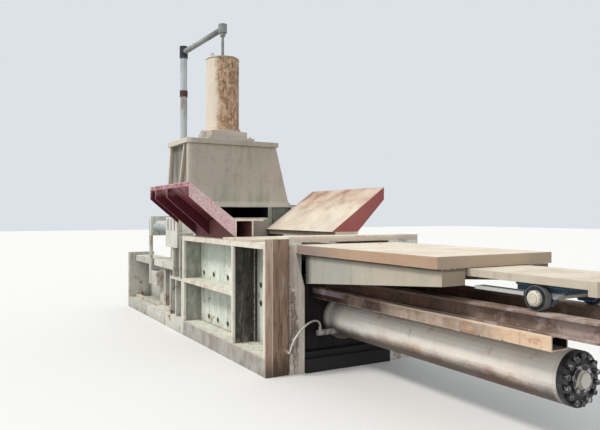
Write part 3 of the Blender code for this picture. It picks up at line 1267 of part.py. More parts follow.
def gate_run_frame():
    """The frame beside the head that the open gate runs into."""
    x_span = (RUN_END_X, HEAD_END_X - GAP)
    skin_outer = CHANNEL_HALF + HEAD_SKIN
    pieces = [
        block(x_span, span_on(NEAR, GATE_OUTER_Y + GAP, GUIDE_OUTER_Y), (0, TRACK_LIP_TOP)),
        block(x_span, span_on(NEAR, CHANNEL_HALF, skin_outer), (0, GUIDE_TOP)),
        block(x_span, span_on(NEAR, CHANNEL_HALF, GUIDE_OUTER_Y), (GATE_TOP + GAP, GUIDE_TOP)),
        block(x_span, span_on(NEAR, GATE_OUTER_Y + GAP, GUIDE_OUTER_Y), (GUIDE_LOW, GUIDE_TOP)),
        block((RUN_END_X, RUN_END_X + RUN_POST), span_on(NEAR, CHANNEL_HALF, OUTER), (0, RUN_POST_TOP)),
    ]
    sill = block(x_span, span_on(NEAR, CHANNEL_HALF, OUTER), (0, SILL_TOP))
    return solid("gate_run_frame", "frame_paint", [sill, *pieces])


def gate_cylinder_bracket():
    """The slotted bracket on the head's flange that anchors the gate cylinder."""
    end = GATE_BARREL_FRONT_X + GAP
    foot = block((UPPER_RIB_PLACES[1], BRACKET_FRONT_X), (-OUTER, GATE_CYLINDER_Y + GATE_BARREL_RADIUS),
                 (BRACKET_LOW, BRACKET_LOW + BRACKET_FACE))
    face_span = (-OUTER - BRACKET_FACE, -OUTER - GAP)
    face = block((end, BRACKET_FRONT_X), face_span, (BRACKET_DROP, BRACKET_TOP))
    lug = block((end, end + GATE_LUG_THICK), (-OUTER - BRACKET_FACE, GATE_CYLINDER_Y + GATE_BARREL_RADIUS),
                (BRACKET_LOW, BRACKET_TOP))
    web = block((end, BRACKET_FRONT_X), (-OUTER - BRACKET_FACE, GATE_CYLINDER_Y + GATE_BARREL_RADIUS),
                (BRACKET_LOW, BRACKET_LOW + BRACKET_FACE))
    cuts = []
    for x in spread(end + BRACKET_SLOT_MARGIN, BRACKET_FRONT_X - BRACKET_SLOT_MARGIN - BRACKET_SLOT_WIDTH,
                    BRACKET_SLOTS + 1):
        cuts.append(block((x, x + BRACKET_SLOT_WIDTH), (-OUTER - OVERRUN, -OUTER + BRACKET_FACE),
                          (BRACKET_LOW + BRACKET_FACE + BRACKET_FACE, BRACKET_TOP - BRACKET_FACE)))
    return solid("gate_cylinder_bracket", "cream_paint", [face, foot, lug, web], cuts)


def gate_barrel():
    """The gate cylinder's barrel, shut at its anchored end."""
    front = GATE_BARREL_FRONT_X
    profile = [
        (0, front), (GATE_BARREL_RADIUS, front), (GATE_BARREL_RADIUS, GATE_BARREL_BACK_X),
        (GATE_ROD_RADIUS + GAP, GATE_BARREL_BACK_X),
        (GATE_ROD_RADIUS + GAP, GATE_BARREL_BACK_X + GATE_END_PLATE),
        (GATE_BORE, GATE_BARREL_BACK_X + GATE_END_PLATE), (GATE_BORE, front - GATE_END_PLATE),
        (0, front - GATE_END_PLATE),
    ]
    body = turned("X", (GATE_CYLINDER_Y, GATE_CYLINDER_Z), profile, MEDIUM_FACETS)
    return solid("gate_barrel", "steel_blue", [body], smooth=True)


def gate_rod():
    """The gate's rod, from its piston to the gate's arm."""
    piston_front = GATE_BARREL_FRONT_X - GATE_END_PLATE - GAP
    end = ARM_FRONT_X + GAP
    profile = [
        (0, piston_front), (GATE_BORE - GAP, piston_front), (GATE_BORE - GAP, piston_front - GATE_PISTON),
        (GATE_ROD_RADIUS, piston_front - GATE_PISTON), (GATE_ROD_RADIUS, end), (0, end),
    ]
    body = turned("X", (GATE_CYLINDER_Y, GATE_CYLINDER_Z), profile, MEDIUM_FACETS)
    return solid("gate_rod", "chrome", [body], smooth=True, origin=(end, GATE_CYLINDER_Y, GATE_CYLINDER_Z))


# Oil pipes
POST_X = -4.69
POST_Y = -0.20
POST_RADIUS = 0.058
POST_TOP = 4.30
POST_FOOT = 0.02
POST_FOOT_HALF = 0.15
POST_COUPLING_RADIUS = 0.068
POST_COUPLING_LOW = 3.63
POST_COUPLING = 0.11
ARM_RADIUS = 0.045
ARM_RISE = 0.10
ELBOW_RADIUS = 0.070
ELBOW_HEIGHT = 0.20
DROP_RADIUS = 0.022
DROP_NUT_RADIUS = 0.045
DROP_NUT = 0.05
CLAMP_LEVELS = (0.62, 1.40)
CLAMP_HEIGHT = 0.08
CLAMP_RADIUS = 0.095
CLAMP_ARM_HALF = 0.04
CLAMP_PLATE_LOW = 0.50
CLAMP_PLATE_TOP = 1.60
CLAMP_PLATE = 0.02
CLAMP_PLATE_HALF = 0.10


def pipe_post():
    """The upright oil pipe, with its foot plate, a coupling and an elbow block on top."""
    centre = (POST_X, POST_Y)
    coupling_top = POST_COUPLING_LOW + POST_COUPLING
    profile = [
        (0, 0), (POST_RADIUS, 0), (POST_RADIUS, POST_COUPLING_LOW),
        (POST_COUPLING_RADIUS, POST_COUPLING_LOW), (POST_COUPLING_RADIUS, coupling_top),
        (POST_RADIUS, coupling_top), (POST_RADIUS, POST_TOP), (ELBOW_RADIUS, POST_TOP),
        (ELBOW_RADIUS, POST_TOP + ELBOW_HEIGHT), (0, POST_TOP + ELBOW_HEIGHT),
    ]
    body = turned("Z", centre, profile, MEDIUM_FACETS)
    foot = block((POST_X - POST_FOOT_HALF, POST_X + POST_FOOT_HALF),
                 (POST_Y - POST_FOOT_HALF, POST_Y + POST_FOOT_HALF), (0, POST_FOOT))
    return solid("pipe_post", "pipe_grey", [body, foot], smooth=True)


def arm_start():
    """The centre of the elbow block, where the arm's line starts."""
    return Vector((POST_X, POST_Y, POST_TOP + ELBOW_HEIGHT / 2))


def arm_end():
    """The point over the tamper cylinder's axis where the arm's line ends."""
    return Vector((TAMPER_AXIS_X, 0, arm_start().z + ARM_RISE))


def pipe_arm():
    """The pipe that rises from the elbow block to the tamper cylinder's axis, with its end block."""
    line = arm_end() - arm_start()
    aim = line.normalized()
    tilt = math.hypot(aim.x, aim.y)
    clear = (ELBOW_RADIUS + GAP + ARM_RADIUS * abs(aim.z)) / tilt
    length = line.length - clear
    shape = bmesh.new()
    bmesh.ops.create_cone(shape, cap_ends=True, segments=MEDIUM_FACETS, radius1=ARM_RADIUS,
                          radius2=ARM_RADIUS, depth=length)
    middle = arm_start() + aim * (clear + length / 2)
    place = Matrix.Translation(middle) @ aim.to_track_quat("Z", "Y").to_matrix().to_4x4()
    bmesh.ops.transform(shape, matrix=place, verts=shape.verts)
    arm = object_from(shape)
    half = ARM_RADIUS + DROP_RADIUS
    end = rod("Z", (TAMPER_AXIS_X, 0), half, (arm_end().z - half, arm_end().z + half))
    return solid("pipe_arm", "pipe_grey", [arm, end], smooth=True)


def drop_pipe():
    """The thin pipe from the arm down to the port on the tamper barrel."""
    low = TAMPER_TOP + GAP
    high = arm_end().z - ARM_RADIUS - DROP_RADIUS - GAP
    profile = [
        (0, low), (DROP_NUT_RADIUS, low), (DROP_NUT_RADIUS, low + DROP_NUT),
        (DROP_RADIUS, low + DROP_NUT), (DROP_RADIUS, high - DROP_NUT),
        (DROP_NUT_RADIUS, high - DROP_NUT), (DROP_NUT_RADIUS, high), (0, high),
    ]
    body = turned("Z", (TAMPER_AXIS_X, 0), profile, SMALL_FACETS)
    return solid("drop_pipe", "pipe_grey", [body], smooth=True)


def pipe_bracket():
    """The bracket on the head's back wall, with two clamps round the post."""
    plate_x = (HEAD_END_X - GAP - CLAMP_PLATE, HEAD_END_X - GAP)
    plate = block(plate_x, (POST_Y - CLAMP_PLATE_HALF, POST_Y + CLAMP_PLATE_HALF),
                  (CLAMP_PLATE_LOW, CLAMP_PLATE_TOP))
    pieces = []
    for level in CLAMP_LEVELS:
        span = (level, level + CLAMP_HEIGHT)
        pieces.append(rod("Z", (POST_X, POST_Y), CLAMP_RADIUS, span))
        pieces.append(block((POST_X, plate_x[1]), (POST_Y - CLAMP_ARM_HALF, POST_Y + CLAMP_ARM_HALF), span))
    bore = rod("Z", (POST_X, POST_Y), POST_RADIUS + GAP, (-OVERRUN, CLAMP_PLATE_TOP), MEDIUM_FACETS)
    return solid("pipe_bracket", "beam_rust", [plate, *pieces], [bore])


# Oil hose between the bulkhead fitting on the near end plate and the port on the main barrel
HOSE_LOW_PLACE = (-0.745, 0.235)
HOSE_RADIUS = 0.010
FITTING_FLANGE_RADIUS = 0.034
FITTING_FLANGE = 0.012
FITTING_RADIUS = 0.020
FITTING_REACH = 0.040
PORT_X = 0.0
PORT_OUTER_Y = -0.365
PORT_Z = 0.385
PORT_RADIUS = 0.032
PORT_NIPPLE_Y = -0.335
PORT_NIPPLE_RADIUS = 0.016
PORT_NIPPLE_TOP = 0.443
HOSE_POINTS = 34
HOSE_SIDES = 2
HOSE_ROUTE = (
    (0.0723, -0.745, 0.235),
    (0.080, -0.745, 0.235),
    (0.088, -0.745, 0.235),
    (0.108, -0.743, 0.262),
    (0.120, -0.728, 0.330),
    (0.126, -0.687, 0.398),
    (0.120, -0.634, 0.450),
    (0.104, -0.576, 0.488),
    (0.078, -0.510, 0.512),
    (0.048, -0.443, 0.521),
    (0.020, -0.383, 0.513),
    (0.004, -0.345, 0.488),
    (0.0, -0.335, 0.463),
    (0.0, -0.335, 0.452),
    (0.0, -0.335, 0.4433),
)


def hose_port():
    """The port bar on the side of the barrel, with a nipple that the hose comes down to."""
    bar = rod("Y", (PORT_X, PORT_Z), PORT_RADIUS, (PORT_OUTER_Y, 0), MEDIUM_FACETS)
    nipple = rod("Z", (PORT_X, PORT_NIPPLE_Y), PORT_NIPPLE_RADIUS, (PORT_Z, PORT_NIPPLE_TOP), SMALL_FACETS)
    barrel = rod("X", (0, MAIN_AXIS_Z), MAIN_RADIUS + GAP,
                 (PORT_X - PORT_RADIUS - OVERRUN, PORT_X + PORT_RADIUS + OVERRUN), BIG_FACETS)
    return solid("hose_port", "grey_steel", [bar, nipple], [barrel], smooth=True)


def smooth_route(route, count):
    """Points spaced evenly in parameter along a smooth curve through the route's points."""
    places = [Vector(point) for point in route]
    before = places[0] * 2 - places[1]
    after = places[-1] * 2 - places[-2]
    guides = [before, *places, after]
    found = []
    for step in range(count):
        travel = (len(places) - 1) * step / (count - 1)
        index = min(int(travel), len(places) - 2)
        share = travel - index
        first, second, third, fourth = guides[index:index + 4]
        slope_in = (third - first) / 2
        slope_out = (fourth - second) / 2
        cube, square = share ** 3, share ** 2
        found.append(
            second * (2 * cube - 3 * square + 1) + slope_in * (cube - 2 * square + share)
            + third * (3 * square - 2 * cube) + slope_out * (cube - square)
        )
    return found


def oil_hose():
    """The hose from the bulkhead fitting over to the port on the barrel."""
    points = smooth_route(HOSE_ROUTE, HOSE_POINTS)
    curve = bpy.data.curves.new("oil_hose", "CURVE")
    curve.dimensions = "3D"
    curve.bevel_depth = HOSE_RADIUS
    curve.bevel_resolution = HOSE_SIDES
    curve.use_fill_caps = True
    curve.resolution_u = 1
    spline = curve.splines.new("POLY")
    spline.points.add(len(points) - 1)
    for target, point in zip(spline.points, points):
        target.co = (*point, 1.0)
    curve.materials.append(finish_material("hose_rubber"))
    made = bpy.data.objects.new("oil_hose", curve)
    bpy.context.scene.collection.objects.link(made)
    return made


def main():
    """Build every piece of the press."""
    clear_scene()
    for side, word in ((NEAR, "near"), (FAR, "far")):
        side_frame(word + "_side_frame", side)
        wall_liner(word + "_wall_liner", side)
        cover_cheek(word + "_cover_cheek", side)
        rail_beam(word + "_rail_beam", side)
        cradle_beam(word + "_cradle_beam", side)
        carriage_wheel(word + "_wheel", side)
    bed("box_floor", (BOX_FRONT_X, 0), WALL_INNER - GAP, BED_BEAM_COUNT, BED_TOE)
    bed("head_floor", (CHAMBER_BACK_X + GAP, HEAD_START_X), CHANNEL_HALF - GAP, HEAD_BEAM_COUNT)
    rear_crosshead()
    rear_tie_beam()
    roof_plate()
    near_end_plate()
    end_portal()
    fixed_cover()
    for name, place in zip(("front_saddle", "rear_saddle"), SADDLE_PLACES):
        cylinder_saddle(name, place)
    main_barrel()
    main_cap()
    main_gland()
    ram_head()
    ram_face_plate()
    main_rod()
    moving_cover()
    carriage_frame()
    carriage_axle()
    near_hopper_curb()
    hopper_near_panel()
    far_hopper_curb()
    hopper_far_panel()
    head_near_frame()
    head_far_frame()
    head_back_wall()
    shear_beam()
    tower_housing()
    tamper_collar()
    tamper_barrel()
    tamper_rod()
    tamper_platen()
    transverse_end_plate()
    transverse_barrel()
    transverse_cap()
    transverse_ram()
    transverse_rod()
    gate()
    gate_run_frame()
    gate_cylinder_bracket()
    gate_barrel()
    gate_rod()
    pipe_post()
    pipe_arm()
    drop_pipe()
    pipe_bracket()
    hose_port()
    oil_hose()


main()
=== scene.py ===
"""Looks of the scrap baling press: materials, small detail, light and the photograph's view.

Metres, in the CAD model's frame: +X runs to the main cylinder's tail, the gate side is -Y, +Z is up.
"""

import math

import bmesh
import bpy
from mathutils import Matrix, Vector


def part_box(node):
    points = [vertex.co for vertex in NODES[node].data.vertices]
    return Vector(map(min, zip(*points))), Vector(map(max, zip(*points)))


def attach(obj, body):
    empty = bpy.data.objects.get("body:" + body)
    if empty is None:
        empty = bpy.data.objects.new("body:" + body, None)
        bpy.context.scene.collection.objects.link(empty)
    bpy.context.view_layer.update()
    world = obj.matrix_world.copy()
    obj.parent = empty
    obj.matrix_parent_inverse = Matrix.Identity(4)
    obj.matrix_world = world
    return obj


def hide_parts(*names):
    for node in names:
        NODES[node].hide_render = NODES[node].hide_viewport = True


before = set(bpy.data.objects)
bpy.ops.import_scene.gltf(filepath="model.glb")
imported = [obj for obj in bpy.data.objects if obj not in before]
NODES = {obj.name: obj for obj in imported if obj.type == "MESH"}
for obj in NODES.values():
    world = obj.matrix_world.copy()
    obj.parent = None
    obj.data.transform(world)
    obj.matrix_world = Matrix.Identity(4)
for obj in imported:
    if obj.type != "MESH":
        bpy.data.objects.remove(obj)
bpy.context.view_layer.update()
FRAME_BODY = "press_frame"

# Picture that the camera is set for, in pixels
PHOTO_WIDTH = 600
PHOTO_FOCAL = 600
SENSOR_MM = 36.0
VIEW_DEPTH = 200.0

# Where the photographer stood, and which way they looked
CAMERA_PLACE = Vector((5.28, -3.59, 1.6))
CAMERA_FORWARD = Vector((-0.868, 0.496, 0.0))

# Floor, sky and sun
FLOOR_HALF = 60.0
FLOOR_COLOUR = (0.74, 0.73, 0.71)
FLOOR_BOUNCE = (0.3, 0.29, 0.28)
FLOOR_ROUGHNESS = 0.9
SKY_COLOUR = (0.9, 0.95, 1.0)
SKY_STRENGTH = 0.8
SUN_COLOUR = (1.0, 0.96, 0.9)
SUN_STRENGTH = 2.1
SUN_SOFTNESS = math.radians(14)
SUN_FROM = Vector((-0.15, -0.85, 1.0))
FILL_COLOUR = (1.0, 1.0, 1.0)
FILL_STRENGTH = 0.6
FILL_SOFTNESS = math.radians(60)
FILL_FROM = Vector((1.0, -0.4, 0.5))

# Directions in the press's frame
TO_TAIL = (1, 0, 0)
TO_GATE = (0, -1, 0)
UP = (0, 0, 1)

# Colours, linear, of paint, rust and grime, and of painted shade
PALE_CREAM = (0.76, 0.69, 0.57)
PINK_DUST = (0.62, 0.49, 0.43)
RUST_ORANGE = (0.38, 0.19, 0.09)
RUST_BROWN = (0.15, 0.085, 0.055)
RUST_DARK = (0.045, 0.032, 0.026)
OIL_BLACK = (0.01, 0.01, 0.013)
# Painted shade, nearly black, for the head's throat
THROAT_SHADE_BLACK = (0.002, 0.004, 0.008)
# Grime; laid by the corner mask, it is painted shade as well
GRIME_AND_SHADE = (0.06, 0.053, 0.046)

# Shine of chalked paint, rust and grime, as a share of clean paint's
DULL_SPECULAR = 0.15

# Radius that every hard edge is rounded to in the shading
ROUNDED_EDGE = 0.006


class Look:
    """One material's node tree, grown by small steps that each give back a socket."""

    def __init__(self, name):
        self.material = bpy.data.materials.new(name)
        self.material.use_nodes = True
        self.tree = self.material.node_tree
        self.shader = self.tree.nodes["Principled BSDF"]
        self.place = self.add("ShaderNodeTexCoord").outputs["Object"]
        self.geometry = self.add("ShaderNodeNewGeometry")
        parts = self.add("ShaderNodeSeparateXYZ")
        self.join(self.place, parts.inputs[0])
        self.x, self.y, self.z = parts.outputs[:]

    def add(self, kind, **settings):
        """A new node with its settings."""
        made = self.tree.nodes.new(kind)
        for key, value in settings.items():
            setattr(made, key, value)
        return made

    def join(self, value, socket):
        """Feed a socket from another socket, a number or a colour."""
        if isinstance(value, bpy.types.NodeSocket):
            self.tree.links.new(value, socket)
        elif isinstance(value, tuple) and socket.type == "RGBA" and len(value) == 3:
            socket.default_value = (*value, 1.0)
        else:
            socket.default_value = value

    def number(self, operation, first, second=0.0):
        """A number worked out from one or two numbers."""
        made = self.add("ShaderNodeMath", operation=operation)
        self.join(first, made.inputs[0])
        self.join(second, made.inputs[1])
        return made.outputs[0]

    def chain(self, operation, first, *others):
        """A number worked out from several numbers, one after the other."""
        for other in others:
            first = self.number(operation, first, other)
        return first

    def times(self, *factors):
        return self.chain("MULTIPLY", *factors)

    def plus(self, *terms):
        return self.chain("ADD", *terms)

    def rest(self, value):
        """One minus a value."""
        return self.number("SUBTRACT", 1.0, value)

    def vector_to(self, socket, stretch):
        """Feed the point to a texture, with each axis scaled for streaks and grain."""
        if stretch is None:
            self.join(self.place, socket)
            return
        made = self.add("ShaderNodeMapping")
        self.join(self.place, made.inputs["Vector"])
        made.inputs["Scale"].default_value = stretch
        self.join(made.outputs[0], socket)

    def noise(self, scale, detail=5.0, rough=0.6, stretch=None, distort=0.0):
        """Cloudy noise, 0 to 1, with so many patches a metre."""
        made = self.add("ShaderNodeTexNoise")
        self.vector_to(made.inputs["Vector"], stretch)
        made.inputs["Scale"].default_value = scale
        made.inputs["Detail"].default_value = detail
        made.inputs["Roughness"].default_value = rough
        made.inputs["Distortion"].default_value = distort
        return made.outputs[0]

    def cells(self, scale):
        """Distance to scattered points, for pits and chips."""
        made = self.add("ShaderNodeTexVoronoi")
        self.vector_to(made.inputs["Vector"], None)
        made.inputs["Scale"].default_value = scale
        return made.outputs["Distance"]

    def ease(self, value, low, high):
        """0 below low, 1 above high, and smooth between; low may be the larger."""
        made = self.add("ShaderNodeMapRange", interpolation_type="SMOOTHSTEP", clamp=True)
        self.join(value, made.inputs["Value"])
        ends = (low, high, 0.0, 1.0) if low < high else (high, low, 1.0, 0.0)
        for name, end in zip(("From Min", "From Max", "To Min", "To Max"), ends):
            made.inputs[name].default_value = end
        return made.outputs[0]

    def patches(self, scale, detail, rough, low, high, **shape):
        """Noise eased to patches with soft edges."""
        return self.ease(self.noise(scale, detail, rough, **shape), low, high)

    def mixed(self, first, second, *patches, **shape):
        """Two colours, the second in patches over the first."""
        return self.blend(self.patches(*patches, **shape), first, second)

    def within(self, value, low, high, soft=0.01):
        """1 between two places on an axis, 0 outside them."""
        above = self.ease(value, low - soft, low + soft)
        below = self.ease(value, high + soft, high - soft)
        return self.times(above, below)

    def facing(self, direction, low=0.5, high=0.9):
        """1 where the surface faces a direction."""
        made = self.add("ShaderNodeVectorMath", operation="DOT_PRODUCT")
        self.join(self.geometry.outputs["Normal"], made.inputs[0])
        made.inputs[1].default_value = direction
        return self.ease(made.outputs["Value"], low, high)

    def bevel(self, radius):
        """The surface's direction with its edges rounded."""
        made = self.add("ShaderNodeBevel", samples=4)
        made.inputs["Radius"].default_value = radius
        return made.outputs[0]

    def edges(self, radius=0.012):
        """1 close to sharp edges, where paint wears first."""
        made = self.add("ShaderNodeVectorMath", operation="DOT_PRODUCT")
        self.join(self.bevel(radius), made.inputs[0])
        self.join(self.geometry.outputs["Normal"], made.inputs[1])
        return self.ease(made.outputs["Value"], 0.985, 0.8)

    def corners(self, reach=0.25):
        """1 in corners and under ledges, where grime stays and where shade falls, as ambient occlusion finds
        them.
        """
        made = self.add("ShaderNodeAmbientOcclusion", samples=4)
        made.inputs["Distance"].default_value = reach
        return self.ease(made.outputs["AO"], 0.75, 0.15)

    def blend(self, share, first, second):
        """A colour between two, by a share."""
        made = self.add("ShaderNodeMix", data_type="RGBA")
        self.join(share, made.inputs[0])
        self.join(first, made.inputs[6])
        self.join(second, made.inputs[7])
        return made.outputs[2]

    def layers(self, colour, *tones):
        """Tones laid over a colour, one on the other; each is a mask, its strength and the tone."""
        for mask, strength, tone in tones:
            colour = self.blend(self.times(mask, strength), colour, tone)
        return colour

    def value_between(self, share, first, second):
        """A number between two, by a share."""
        made = self.add("ShaderNodeMix", data_type="FLOAT")
        self.join(share, made.inputs[0])
        self.join(first, made.inputs[2])
        self.join(second, made.inputs[3])
        return made.outputs[0]

    def relief(self, height, depth):
        """Bump of a given depth, on edges rounded by a small radius."""
        made = self.add("ShaderNodeBump")
        made.inputs["Strength"].default_value = 1.0
        made.inputs["Distance"].default_value = depth
        self.join(height, made.inputs["Height"])
        self.join(self.bevel(ROUNDED_EDGE), made.inputs["Normal"])
        self.join(made.outputs[0], self.shader.inputs["Normal"])

    def done(self, colour, roughness, metallic=0.0, dull=False):
        """Feed the shader and give back the material."""
        self.join(colour, self.shader.inputs["Base Color"])
        self.join(roughness, self.shader.inputs["Roughness"])
        self.join(metallic, self.shader.inputs["Metallic"])
        if dull:
            self.join(DULL_SPECULAR, self.shader.inputs["Specular IOR Level"])
        return self.material


def set_camera():
    """The photograph's view: level, with the horizon at half height."""
    data = bpy.data.cameras.new("photo_camera")
    data.sensor_width = SENSOR_MM
    data.lens = SENSOR_MM * PHOTO_FOCAL / PHOTO_WIDTH
    data.clip_end = VIEW_DEPTH
    camera = bpy.data.objects.new("photo_camera", data)
    camera.location = CAMERA_PLACE
    camera.rotation_euler = CAMERA_FORWARD.to_track_quat("-Z", "Y").to_euler()
    bpy.context.scene.collection.objects.link(camera)
    bpy.context.scene.camera = camera


def add_sun(name, towards_light, strength, softness, colour):
    """A far light that shines from one direction with soft edges."""
    data = bpy.data.lights.new(name, "SUN")
    data.energy = strength
    data.angle = softness
    data.color = colour
    light = bpy.data.objects.new(name, data)
    light.rotation_euler = towards_light.to_track_quat("Z", "Y").to_euler()
    bpy.context.scene.collection.objects.link(light)


def floor_material():
    """Pale to the camera and in reflections, darker as a source of bounced light."""
    look = Look("floor")
    rays = look.add("ShaderNodeLightPath").outputs
    seen = look.chain("MAXIMUM", rays["Is Camera Ray"], rays["Is Glossy Ray"], rays["Is Transmission Ray"])
    return look.done(look.blend(seen, FLOOR_BOUNCE, FLOOR_COLOUR), FLOOR_ROUGHNESS)


def set_stage():
    """A plain pale floor under a soft sky."""
    scene = bpy.context.scene
    scene.view_settings.view_transform = "Standard"
    world = bpy.data.worlds.new("sky")
    world.use_nodes = True
    background = world.node_tree.nodes["Background"]
    background.inputs["Color"].default_value = (*SKY_COLOUR, 1.0)
    background.inputs["Strength"].default_value = SKY_STRENGTH
    scene.world = world
    shape = bmesh.new()
    bmesh.ops.create_grid(shape, x_segments=1, y_segments=1, size=FLOOR_HALF)
    mesh = bpy.data.meshes.new("floor")
    shape.to_mesh(mesh)
    shape.free()
    floor = bpy.data.objects.new("floor", mesh)
    scene.collection.objects.link(floor)
    mesh.materials.append(floor_material())
    add_sun("sun", SUN_FROM, SUN_STRENGTH, SUN_SOFTNESS, SUN_COLOUR)
    add_sun("fill", FILL_FROM, FILL_STRENGTH, FILL_SOFTNESS, FILL_COLOUR)


def rust_tone(look):
    """Rust that clouds between a bright and a dark tone, with dark pits."""
    cloud = look.mixed(RUST_BROWN, RUST_ORANGE, 9.0, 8.0, 0.7, 0.35, 0.68)
    return look.layers(cloud, (look.patches(63.0, 4.0, 0.6, 0.6, 0.72), 1, RUST_DARK))


def weathered(name, paint, faded, rust, grime_and_shade_amount, streaks, worn=0.5, worn_colour=PALE_CREAM, regions=None,
              gloss=0.62, run=(9.0, 9.0, 0.7), top_dust=0.5, mottle=0.0):
    """Old paint on plate: faded clouds, rust patches, runs, grime with painted shade in the corners and under
    ledges, and worn edges.

    rust, the grime with painted shade, streaks, worn and mottle go from 0 to 1. regions, if given, takes the
    look and gives back the layers of the places that differ, which lie over the rust and under the chips and
    the dust.
    """
    look = Look(name)
    patch = look.noise(5.5, 9.0, 0.68, distort=0.3)
    grain = look.noise(38.0, 6.0, 0.65)
    edge = look.edges()
    corner = look.corners()
    fleck = look.patches(19.0, 8.0, 0.75, 0.5, 0.62) if mottle > 0 else 0.0
    drip = look.patches(2.2, 6.0, 0.6, 0.54, 0.68, stretch=run)
    low = 0.74 - 0.26 * rust
    shift = look.plus(patch, look.times(look.plus(look.times(edge, 0.1), look.times(corner, 0.08)), rust))
    rusted = look.ease(shift, low, low + 0.05)
    colour = look.layers(
        look.mixed(paint, faded, 1.6, 6.0, 0.62, 0.35, 0.66),
        (look.ease(grain, 0.5, 0.66), 0.3, faded),
        (fleck, mottle, tuple(0.55 * part for part in paint)),
        (look.times(drip, streaks), 0.8, look.blend(grain, RUST_BROWN, GRIME_AND_SHADE)),
        (look.ease(shift, low - 0.09, low + 0.02), 0.4, RUST_ORANGE),
        (rusted, 1, rust_tone(look)))
    if regions is not None:
        colour = look.layers(colour, *regions(look))
    chip = look.ease(look.plus(look.times(edge, 0.6), look.times(grain, 0.5)), 0.55, 0.75)
    dust = look.times(look.facing(UP, 0.3, 0.8), look.patches(3.0, 7.0, 0.65, 0.4, 0.62))
    # Grime in corners and under ledges, from ambient occlusion: partly painted shade
    grime_and_shade = look.ease(look.plus(corner, look.times(look.noise(7.0, 6.0, 0.7), 0.6)), 0.55, 1.25)
    colour = look.layers(colour, (chip, worn, worn_colour), (dust, top_dust, PALE_CREAM), (grime_and_shade, grime_and_shade_amount, GRIME_AND_SHADE))
    look.relief(look.plus(look.times(rusted, -0.35), look.times(grain, 0.25), look.times(patch, 0.4)), 0.004)
    return look.done(colour, look.value_between(rusted, gloss, 0.92), dull=True)


# Places that the wear follows, from the CAD nodes
WALL_OUTER = -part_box("near_side_frame")[0].y
BARREL_LOW, BARREL_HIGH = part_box("main_barrel")
BARREL_AXIS_Z = (BARREL_LOW.z + BARREL_HIGH.z) / 2
TAMPER_LOW, TAMPER_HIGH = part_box("tamper_barrel")
TAMPER_AXIS_X = (TAMPER_LOW.x + TAMPER_HIGH.x) / 2
CAP_END_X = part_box("main_cap")[1].x
TOWER_LOW, TOWER_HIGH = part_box("tower_housing")
TIE_TOP_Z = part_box("rear_tie_beam")[1].z
CHEEK_LOW, CHEEK_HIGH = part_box("near_cover_cheek")
CRADLE_LOW, CRADLE_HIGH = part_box("near_cradle_beam")
NEAR_PANEL_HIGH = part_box("hopper_near_panel")[1]
POST_TOP_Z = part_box("pipe_post")[1].z

# Places on the solids that no box tells
EDGE_BAND = 0.035
TAIL_RIB_X = (-0.85, -0.74)
FRONT_RIB_X = (-2.47, -2.36)
TOWER_BAY_Y = TOWER_LOW.y + 0.07
POST_COLLAR_Z = 3.63
CRADLE_HOLE_Y = (0.208, 0.352)
GUARD_BAR_Z = (1.055, 1.092)

# Unit direction across the photograph, which the rust on the tamper's cylinder follows
ACROSS_X, ACROSS_Y = 0.496, 0.868


def outer_band(look):
    """1 on the outermost edges of the ribs and flanges of either side."""
    return look.ease(look.number("ABSOLUTE", look.y), WALL_OUTER - EDGE_BAND, WALL_OUTER - EDGE_BAND / 2)


def frame_regions(look):
    """Pale rib edges, rib faces towards the tail darkened as painted shade, a tail rib nearly black with oil
    and painted shade, and rusted, dusty lower plates.
    """
    band = outer_band(look)
    inward = look.rest(band)
    rib_face = look.times(look.facing(TO_TAIL), inward)
    murk = look.noise(4.0, 8.0, 0.7, stretch=(1.0, 1.0, 0.45))
    grey = look.blend(look.ease(murk, 0.4, 0.62), (0.17, 0.17, 0.14), (0.42, 0.43, 0.37))
    black = look.blend(look.ease(murk, 0.5, 0.72), (0.014, 0.012, 0.011), (0.085, 0.062, 0.05))
    edge_tone = look.layers(
        look.mixed((0.8, 0.74, 0.62), PINK_DUST, 6.0, 7.0, 0.7, 0.46, 0.66),
        (look.patches(26.0, 8.0, 0.75, 0.58, 0.66), 0.7, (0.26, 0.18, 0.13)))
    low_dust = look.times(look.ease(look.z, 0.42, 0.1), look.patches(9.0, 8.0, 0.7, 0.42, 0.6))
    stain = look.times(look.patches(3.2, 8.0, 0.75, 0.52, 0.62, stretch=(3.0, 3.0, 0.45)), inward)
    scuffed = look.mixed(
        (0.4, 0.375, 0.355), (0.26, 0.235, 0.215), 6.0, 9.0, 0.78, 0.44, 0.6, stretch=(1.0, 1.0, 0.6))
    return [
        # Painted shade: darker grey on the front rib's face towards the tail
        (look.times(look.within(look.x, *FRONT_RIB_X), rib_face), 0.85, grey),
        # Oil and painted shade: nearly black on the tail rib's face towards the tail
        (look.times(look.within(look.x, *TAIL_RIB_X), rib_face), 0.96, black),
        (band, 0.85, edge_tone),
        (low_dust, 0.55, (0.42, 0.34, 0.3)),
        (stain, 0.5, (0.24, 0.22, 0.18)),
        (look.times(band, look.ease(look.z, 0.21, 0.17)), 0.85, scuffed)]


